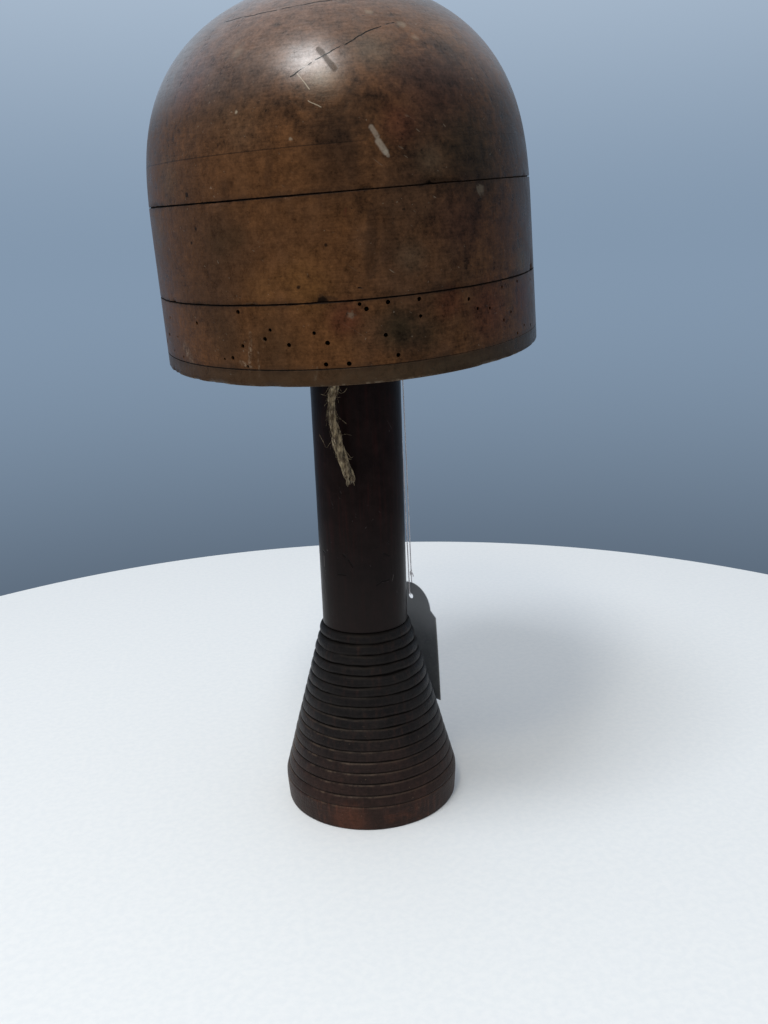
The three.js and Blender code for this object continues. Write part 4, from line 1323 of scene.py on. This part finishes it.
# A loop of white cotton thread hangs from the other staple and carries a punched grey card
# tag, whose lower edge leans on the flare of the foot. The card is blank.
TAG_FRAME_AT = (25.153, 18.320, 226.000)
TAG_AZIMUTH = math.radians(36.067)
TAG_LEAN = math.radians(-1.390)
CARD_TILT = math.radians(-1.8)
THREAD_ROUTE = [
    (0.95, -118.5), (0.95, -122), (1, -127), (0.95, -129), (0.6, -129.55), (0, -129.7),
    (-0.6, -129.55), (-0.95, -129), (-1, -127), (-1, -110), (-1.2, -65), (-1.3, -20), (-1.4, -2),
    (-1.4, 0), (-0.99, 0.99), (0, 1.4), (0.99, 0.99), (1.4, 0), (1.4, -2), (1.3, -20), (1.2, -65),
    (1, -100), (0.95, -116.5),
]
THREAD_R = 0.28
THREAD_TWIST = 2.4
THREAD_STEP = 0.6
PLY_OUT = 0.5
PLY_THICK = 0.68
THREAD_DROP = 130.5
TAG_HALF_W = 16.6
TAG_THICK = 0.5
TAG_ROUND_R = 13.1
TAG_ABOVE_HOLE = 7.6
TAG_BELOW_HOLE = 56.0
TAG_HOLE_R = 1.6
PUNCH_HALF = 2
PUNCH_SIDES = 32
TAG_BEND = 0.6
TAG_STRIPS = 18
TAG_FIELDS = 10
TAG_ROUND_STEPS = 32
KNOT_H = -117.5
KNOT_OUT = 0.95
KNOT_STEPS = 40
KNOT_BULGE = 0.5
KNOT_WIDE = 0.44
KNOT_TALL = 1.1
KNOT_R = 0.3
KNOT_TAILS = ((0.3, 1.2), (0.2, -1.3))
TAIL_DROP = 2.6
TAIL_RADII = (0.26, 0.25, 0.25, 0.18)
tag_turn = Matrix.Rotation(TAG_AZIMUTH, 4, "Z") @ Matrix.Rotation(TAG_LEAN, 4, "Y")
tag_place = Matrix.Translation(Vector(TAG_FRAME_AT) * MM) @ tag_turn


def hung(x, y, z):
    """A place in the hanging tag's own frame, in millimetres, as metres in the object's."""
    return tag_place @ (Vector((x, y, z)) * MM)


thread_stops = [hung(out, 0, height) / MM for out, height in THREAD_ROUTE]
thread_line, thread_length = even_route(smooth_route(thread_stops, 10), THREAD_STEP * MM)
thread_vertices, thread_faces = [], []
thread_frames = frames_along(thread_line)
for ply in range(2):
    ply_line = []
    for i, (point, sides) in enumerate(zip(thread_line, thread_frames)):
        angle = 2 * math.pi * (i * THREAD_STEP / THREAD_TWIST + ply / 2)
        ply_line.append(beside(point, sides, angle, THREAD_R * PLY_OUT * MM))
    radii = [THREAD_R * PLY_THICK * MM] * len(ply_line)
    add_tube(thread_vertices, thread_faces, ply_line, radii, 7)
thread = mesh_piece("thread_plies", thread_vertices, thread_faces)

knot_line = []
for i in range(KNOT_STEPS + 1):
    angle = 2 * math.pi * i / KNOT_STEPS
    knot_x, knot_y = KNOT_OUT + KNOT_BULGE * math.sin(3 * angle), KNOT_WIDE * math.cos(2 * angle)
    knot_line.append(hung(knot_x, knot_y, KNOT_H + KNOT_TALL * math.sin(angle)))
knot_vertices, knot_faces = [], []
add_tube(knot_vertices, knot_faces, knot_line, [KNOT_R * MM] * len(knot_line), 8)
for tail_x, tail_y in KNOT_TAILS:
    tail = [
        hung(KNOT_OUT + tail_x * t, tail_y * t, KNOT_H - TAIL_DROP * t ** 2)
        for t in (0, 0.3, 0.6, 1)
    ]
    add_tube(knot_vertices, knot_faces, tail, [radius * MM for radius in TAIL_RADII], 7)
knot = mesh_piece("thread_knot", knot_vertices, knot_faces)

COTTON = colour(224, 220, 222)
COTTON_SOILED = colour(190, 186, 188)
COTTON_LAY = colour(160, 156, 158)


def cotton_finish():
    material, shader, place = new_finish("cotton_thread")
    ply = place.stretched(1, 1, 0.3).grain(3000, 3, 0.6)
    grime = place.grain(120, 4, 0.6)
    cotton = grime.between(0.4, 0.7).blend(COTTON, COTTON_SOILED)
    feed(shader, {
        "Base Color": (ply.between(0.5, 0.7) * 0.35).blend(cotton, COTTON_LAY),
        "Roughness": grime * 0.15 + 0.75,
        "Normal": bump(ply, 0.15),
    })
    return material


cotton = cotton_finish()
for cotton_piece in (thread, knot):
    cotton_piece.data.materials.append(cotton)
    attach(cotton_piece, "tag")
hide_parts("tag_thread")

shoulder = TAG_ABOVE_HOLE - TAG_HALF_W
outline = [(-TAG_HALF_W, -TAG_BELOW_HOLE), (TAG_HALF_W, -TAG_BELOW_HOLE), (TAG_HALF_W, shoulder)]
for i in range(TAG_ROUND_STEPS + 1):
    angle = math.pi * i / TAG_ROUND_STEPS
    top = TAG_ABOVE_HOLE - TAG_ROUND_R + TAG_ROUND_R * math.sin(angle)
    outline.append((TAG_ROUND_R * math.cos(angle), top))
outline.append((-TAG_HALF_W, shoulder))
tag = drawn_line("tag_card", [(-TAG_THICK / 2, y, z) for y, z in outline])
bpy.ops.mesh.select_all(action="SELECT")
bpy.ops.mesh.edge_face_add()
bpy.ops.mesh.extrude_region_move(TRANSFORM_OT_translate={"value": (TAG_THICK * MM, 0, 0)})
close_mesh()
punch = rod(0, 0, -PUNCH_HALF, PUNCH_HALF, TAG_HOLE_R, PUNCH_SIDES)
punch.data.transform(Matrix.Rotation(math.pi / 2, 4, "Y"))
carve(tag, punch)

# The card is cut into fields, so that it can bow, and hung on its loop.
bpy.ops.object.mode_set(mode="EDIT")
card_cuts = []
for i in range(1, TAG_STRIPS):
    cut_z = -TAG_BELOW_HOLE + (TAG_BELOW_HOLE + TAG_ABOVE_HOLE) * i / TAG_STRIPS
    card_cuts.append(((0, 0, cut_z * MM), (0, 0, 1)))
for i in range(1, TAG_FIELDS):
    cut_y = -TAG_HALF_W + TAG_HALF_W * 2 * i / TAG_FIELDS
    card_cuts.append(((0, cut_y * MM, 0), (0, 1, 0)))
for cut_at, cut_across in card_cuts:
    bpy.ops.mesh.select_all(action="SELECT")
    bpy.ops.mesh.bisect(plane_co=cut_at, plane_no=cut_across)
bpy.ops.object.mode_set(mode="OBJECT")
for vertex in tag.data.vertices:
    down = -vertex.co.z / (TAG_BELOW_HOLE * MM)
    aside = vertex.co.y / (TAG_HALF_W * MM)
    bow = math.sin(math.pi * max(down, 0)) * 0.5 - 0.5 * aside ** 2
    vertex.co.x += TAG_BEND * MM * bow
card_place = tag_place @ Matrix.Translation((0, 0, -THREAD_DROP * MM))
card_place = card_place @ Matrix.Rotation(CARD_TILT, 4, "Y")
tag.data.transform(card_place)
select_only(tag)
bpy.ops.object.shade_smooth_by_angle(angle=SMOOTH_BELOW)

CARD_GREY = colour(110, 113, 117)
CARD_STAINED = colour(88, 92, 96)
CARD_PAINTED_LIGHT = colour(150, 153, 157)
CARD_PULP = colour(136, 137, 137)
CARD_RUBBED = colour(140, 139, 136)


def card_finish():
    material, shader, object_place = new_finish("grey_card")
    place = object_place.before(card_place)
    pulp = place.grain(900, 5, 0.65)
    stain = place.grain(70, 5, 0.6)
    edge = place.in_mm(1).size().between(TAG_HALF_W - 1.2, TAG_HALF_W)
    low_edge = place.in_mm(2).between(1.6 - TAG_BELOW_HOLE, -TAG_BELOW_HOLE)
    rubbed = edge.most(low_edge) * stain.between(0.3, 0.6)
    card = stain.between(0.3, 0.7).blend(CARD_GREY, CARD_STAINED)
    # Painted light: the card is lighter towards its top.
    card = (place.in_mm(2).between(-24, -2) * 0.85).blend(card, CARD_PAINTED_LIGHT)
    card = (pulp.between(0.45, 0.7) * 0.3).blend(card, CARD_PULP)
    feed(shader, {
        "Base Color": (rubbed * 0.6).blend(card, CARD_RUBBED),
        "Roughness": pulp * 0.15 + stain * 0.1 + 0.6,
        "Normal": bump(pulp + stain, 0.08),
    })
    return material


tag.data.materials.clear()
tag.data.materials.append(card_finish())
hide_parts("swing_tag")
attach(tag, "tag")

# The setting is a plain pale round floor, a little rough, which belongs to no body and to no
# slot.
TABLE_R = 475.0
TABLE_DEEP = 20.0
TABLE_AT = (-5.5, -16.8)
TABLE_SIDES = 256
TABLE_PALE = colour(226, 229, 231)
TABLE_SPECK = colour(221, 225, 228)
table = rod(*TABLE_AT, -TABLE_DEEP, 0, TABLE_R, TABLE_SIDES)
table.name = "table"


def table_finish():
    material, shader, place = new_finish("pale_table")
    speck = place.grain(300, 3, 0.6)
    feed(shader, {
        "Base Color": speck.between(0.3, 0.7).blend(TABLE_PALE, TABLE_SPECK),
        "Roughness": speck * 0.05 + 0.55,
    })
    return material


table.data.materials.append(table_finish())

# The backdrop, by how high a ray looks: dark below, pale blue-grey behind the object and nearly
# white overhead. The camera and every gloss see it. The light on the object is plainer, and only
# falls off towards the right and below.
BACKDROP_LOW = colour(62, 72, 84)
BACKDROP_MID = colour(131, 151, 173)
BACKDROP_HIGH = colour(196, 212, 229)
BACKDROP_TOP = colour(208, 210, 212)
FROM_LEFT = (1.04, 1.05, 1.06, 1.0)
FROM_RIGHT = (0.56, 0.62, 0.7, 1.0)
world = bpy.data.worlds.new("daylight")
bpy.context.scene.world = world
world.use_nodes = True
sky = world.node_tree
toward = Wire(sky, sky.nodes.new("ShaderNodeTexCoord").outputs["Generated"])
rise = toward.axis(2)
backdrop = rise.between(-0.5, 0.0).blend(BACKDROP_LOW, BACKDROP_MID)
backdrop = rise.between(0.0, 0.5).blend(backdrop, BACKDROP_HIGH)
backdrop = rise.between(0.4, 0.9).blend(backdrop, BACKDROP_TOP)
seen = sky.nodes["Background"]
sky.links.new(backdrop.socket, seen.inputs["Color"])
light = toward.axis(0).between(0.9, -0.9).blend(FROM_RIGHT, FROM_LEFT)
light = light.shaded(rise.between(-0.6, 0.3) * 0.88 + 0.12)
lit = sky.nodes.new("ShaderNodeBackground")
sky.links.new(light.socket, lit.inputs["Color"])
lit.inputs["Strength"].default_value = 0.8
path = sky.nodes.new("ShaderNodeLightPath")
seen_by = ("Is Camera Ray", "Is Glossy Ray", "Is Transmission Ray")
ray = reduce(Wire.most, [Wire(sky, path.outputs[kind]) for kind in seen_by])
mix = sky.nodes.new("ShaderNodeMixShader")
sky.links.new(ray.socket, mix.inputs["Fac"])
sky.links.new(lit.outputs["Background"], mix.inputs[1])
sky.links.new(seen.outputs["Background"], mix.inputs[2])
sky.links.new(mix.outputs["Shader"], sky.nodes["World Output"].inputs["Surface"])

# Two soft lamps at the upper left, a large cool one and a smaller warm one, make the highlight on
# the crown. Places of lamps are in metres.
LIGHTS_AIM = (0, 0, 0.3)


def soft_light(name, at, width, watts, hue):
    lamp = bpy.data.lights.new(name, "AREA")
    lamp.shape = "RECTANGLE"
    lamp.size, lamp.size_y = width
    lamp.energy = watts
    lamp.color = hue
    holder = bpy.data.objects.new(name, lamp)
    bpy.context.scene.collection.objects.link(holder)
    holder.location = at
    way = Vector(LIGHTS_AIM) - Vector(at)
    holder.rotation_euler = way.to_track_quat("-Z", "Y").to_euler()


soft_light(
    "cool_light", at=(-0.46, -0.49, 1.53), width=(0.44, 0.34), watts=12.5, hue=(0.94, 0.97, 1.0)
)
soft_light("warm_light", at=(-0.4, -0.78, 1.34), width=(0.2, 0.18), watts=4.2, hue=(1.0, 0.89, 0.7))

# The camera stands in front and a little to the left, as high as the block's lower board. It looks
# down and is turned a little on its own axis. Its place is in millimetres.
CAMERA_AT = (-63.97, -451.0, 263.97)
CAMERA_HEADING = math.radians(-9.496)
CAMERA_TILT = math.radians(90 - 14.318)
CAMERA_ROLL = math.radians(-2.076)
eye = bpy.data.cameras.new("camera")
eye.sensor_fit = "AUTO"
eye.sensor_width = 36.0
eye.lens = 33.75
camera = bpy.data.objects.new("camera", eye)
bpy.context.scene.collection.objects.link(camera)
aim = Matrix.Rotation(CAMERA_HEADING, 4, "Z") @ Matrix.Rotation(CAMERA_TILT, 4, "X")
aim = aim @ Matrix.Rotation(CAMERA_ROLL, 4, "Z")
camera.matrix_world = Matrix.Translation(Vector(CAMERA_AT) * MM) @ aim
eye.clip_start = 0.02
bpy.context.scene.camera = camera
bpy.context.scene.view_settings.view_transform = "Standard"
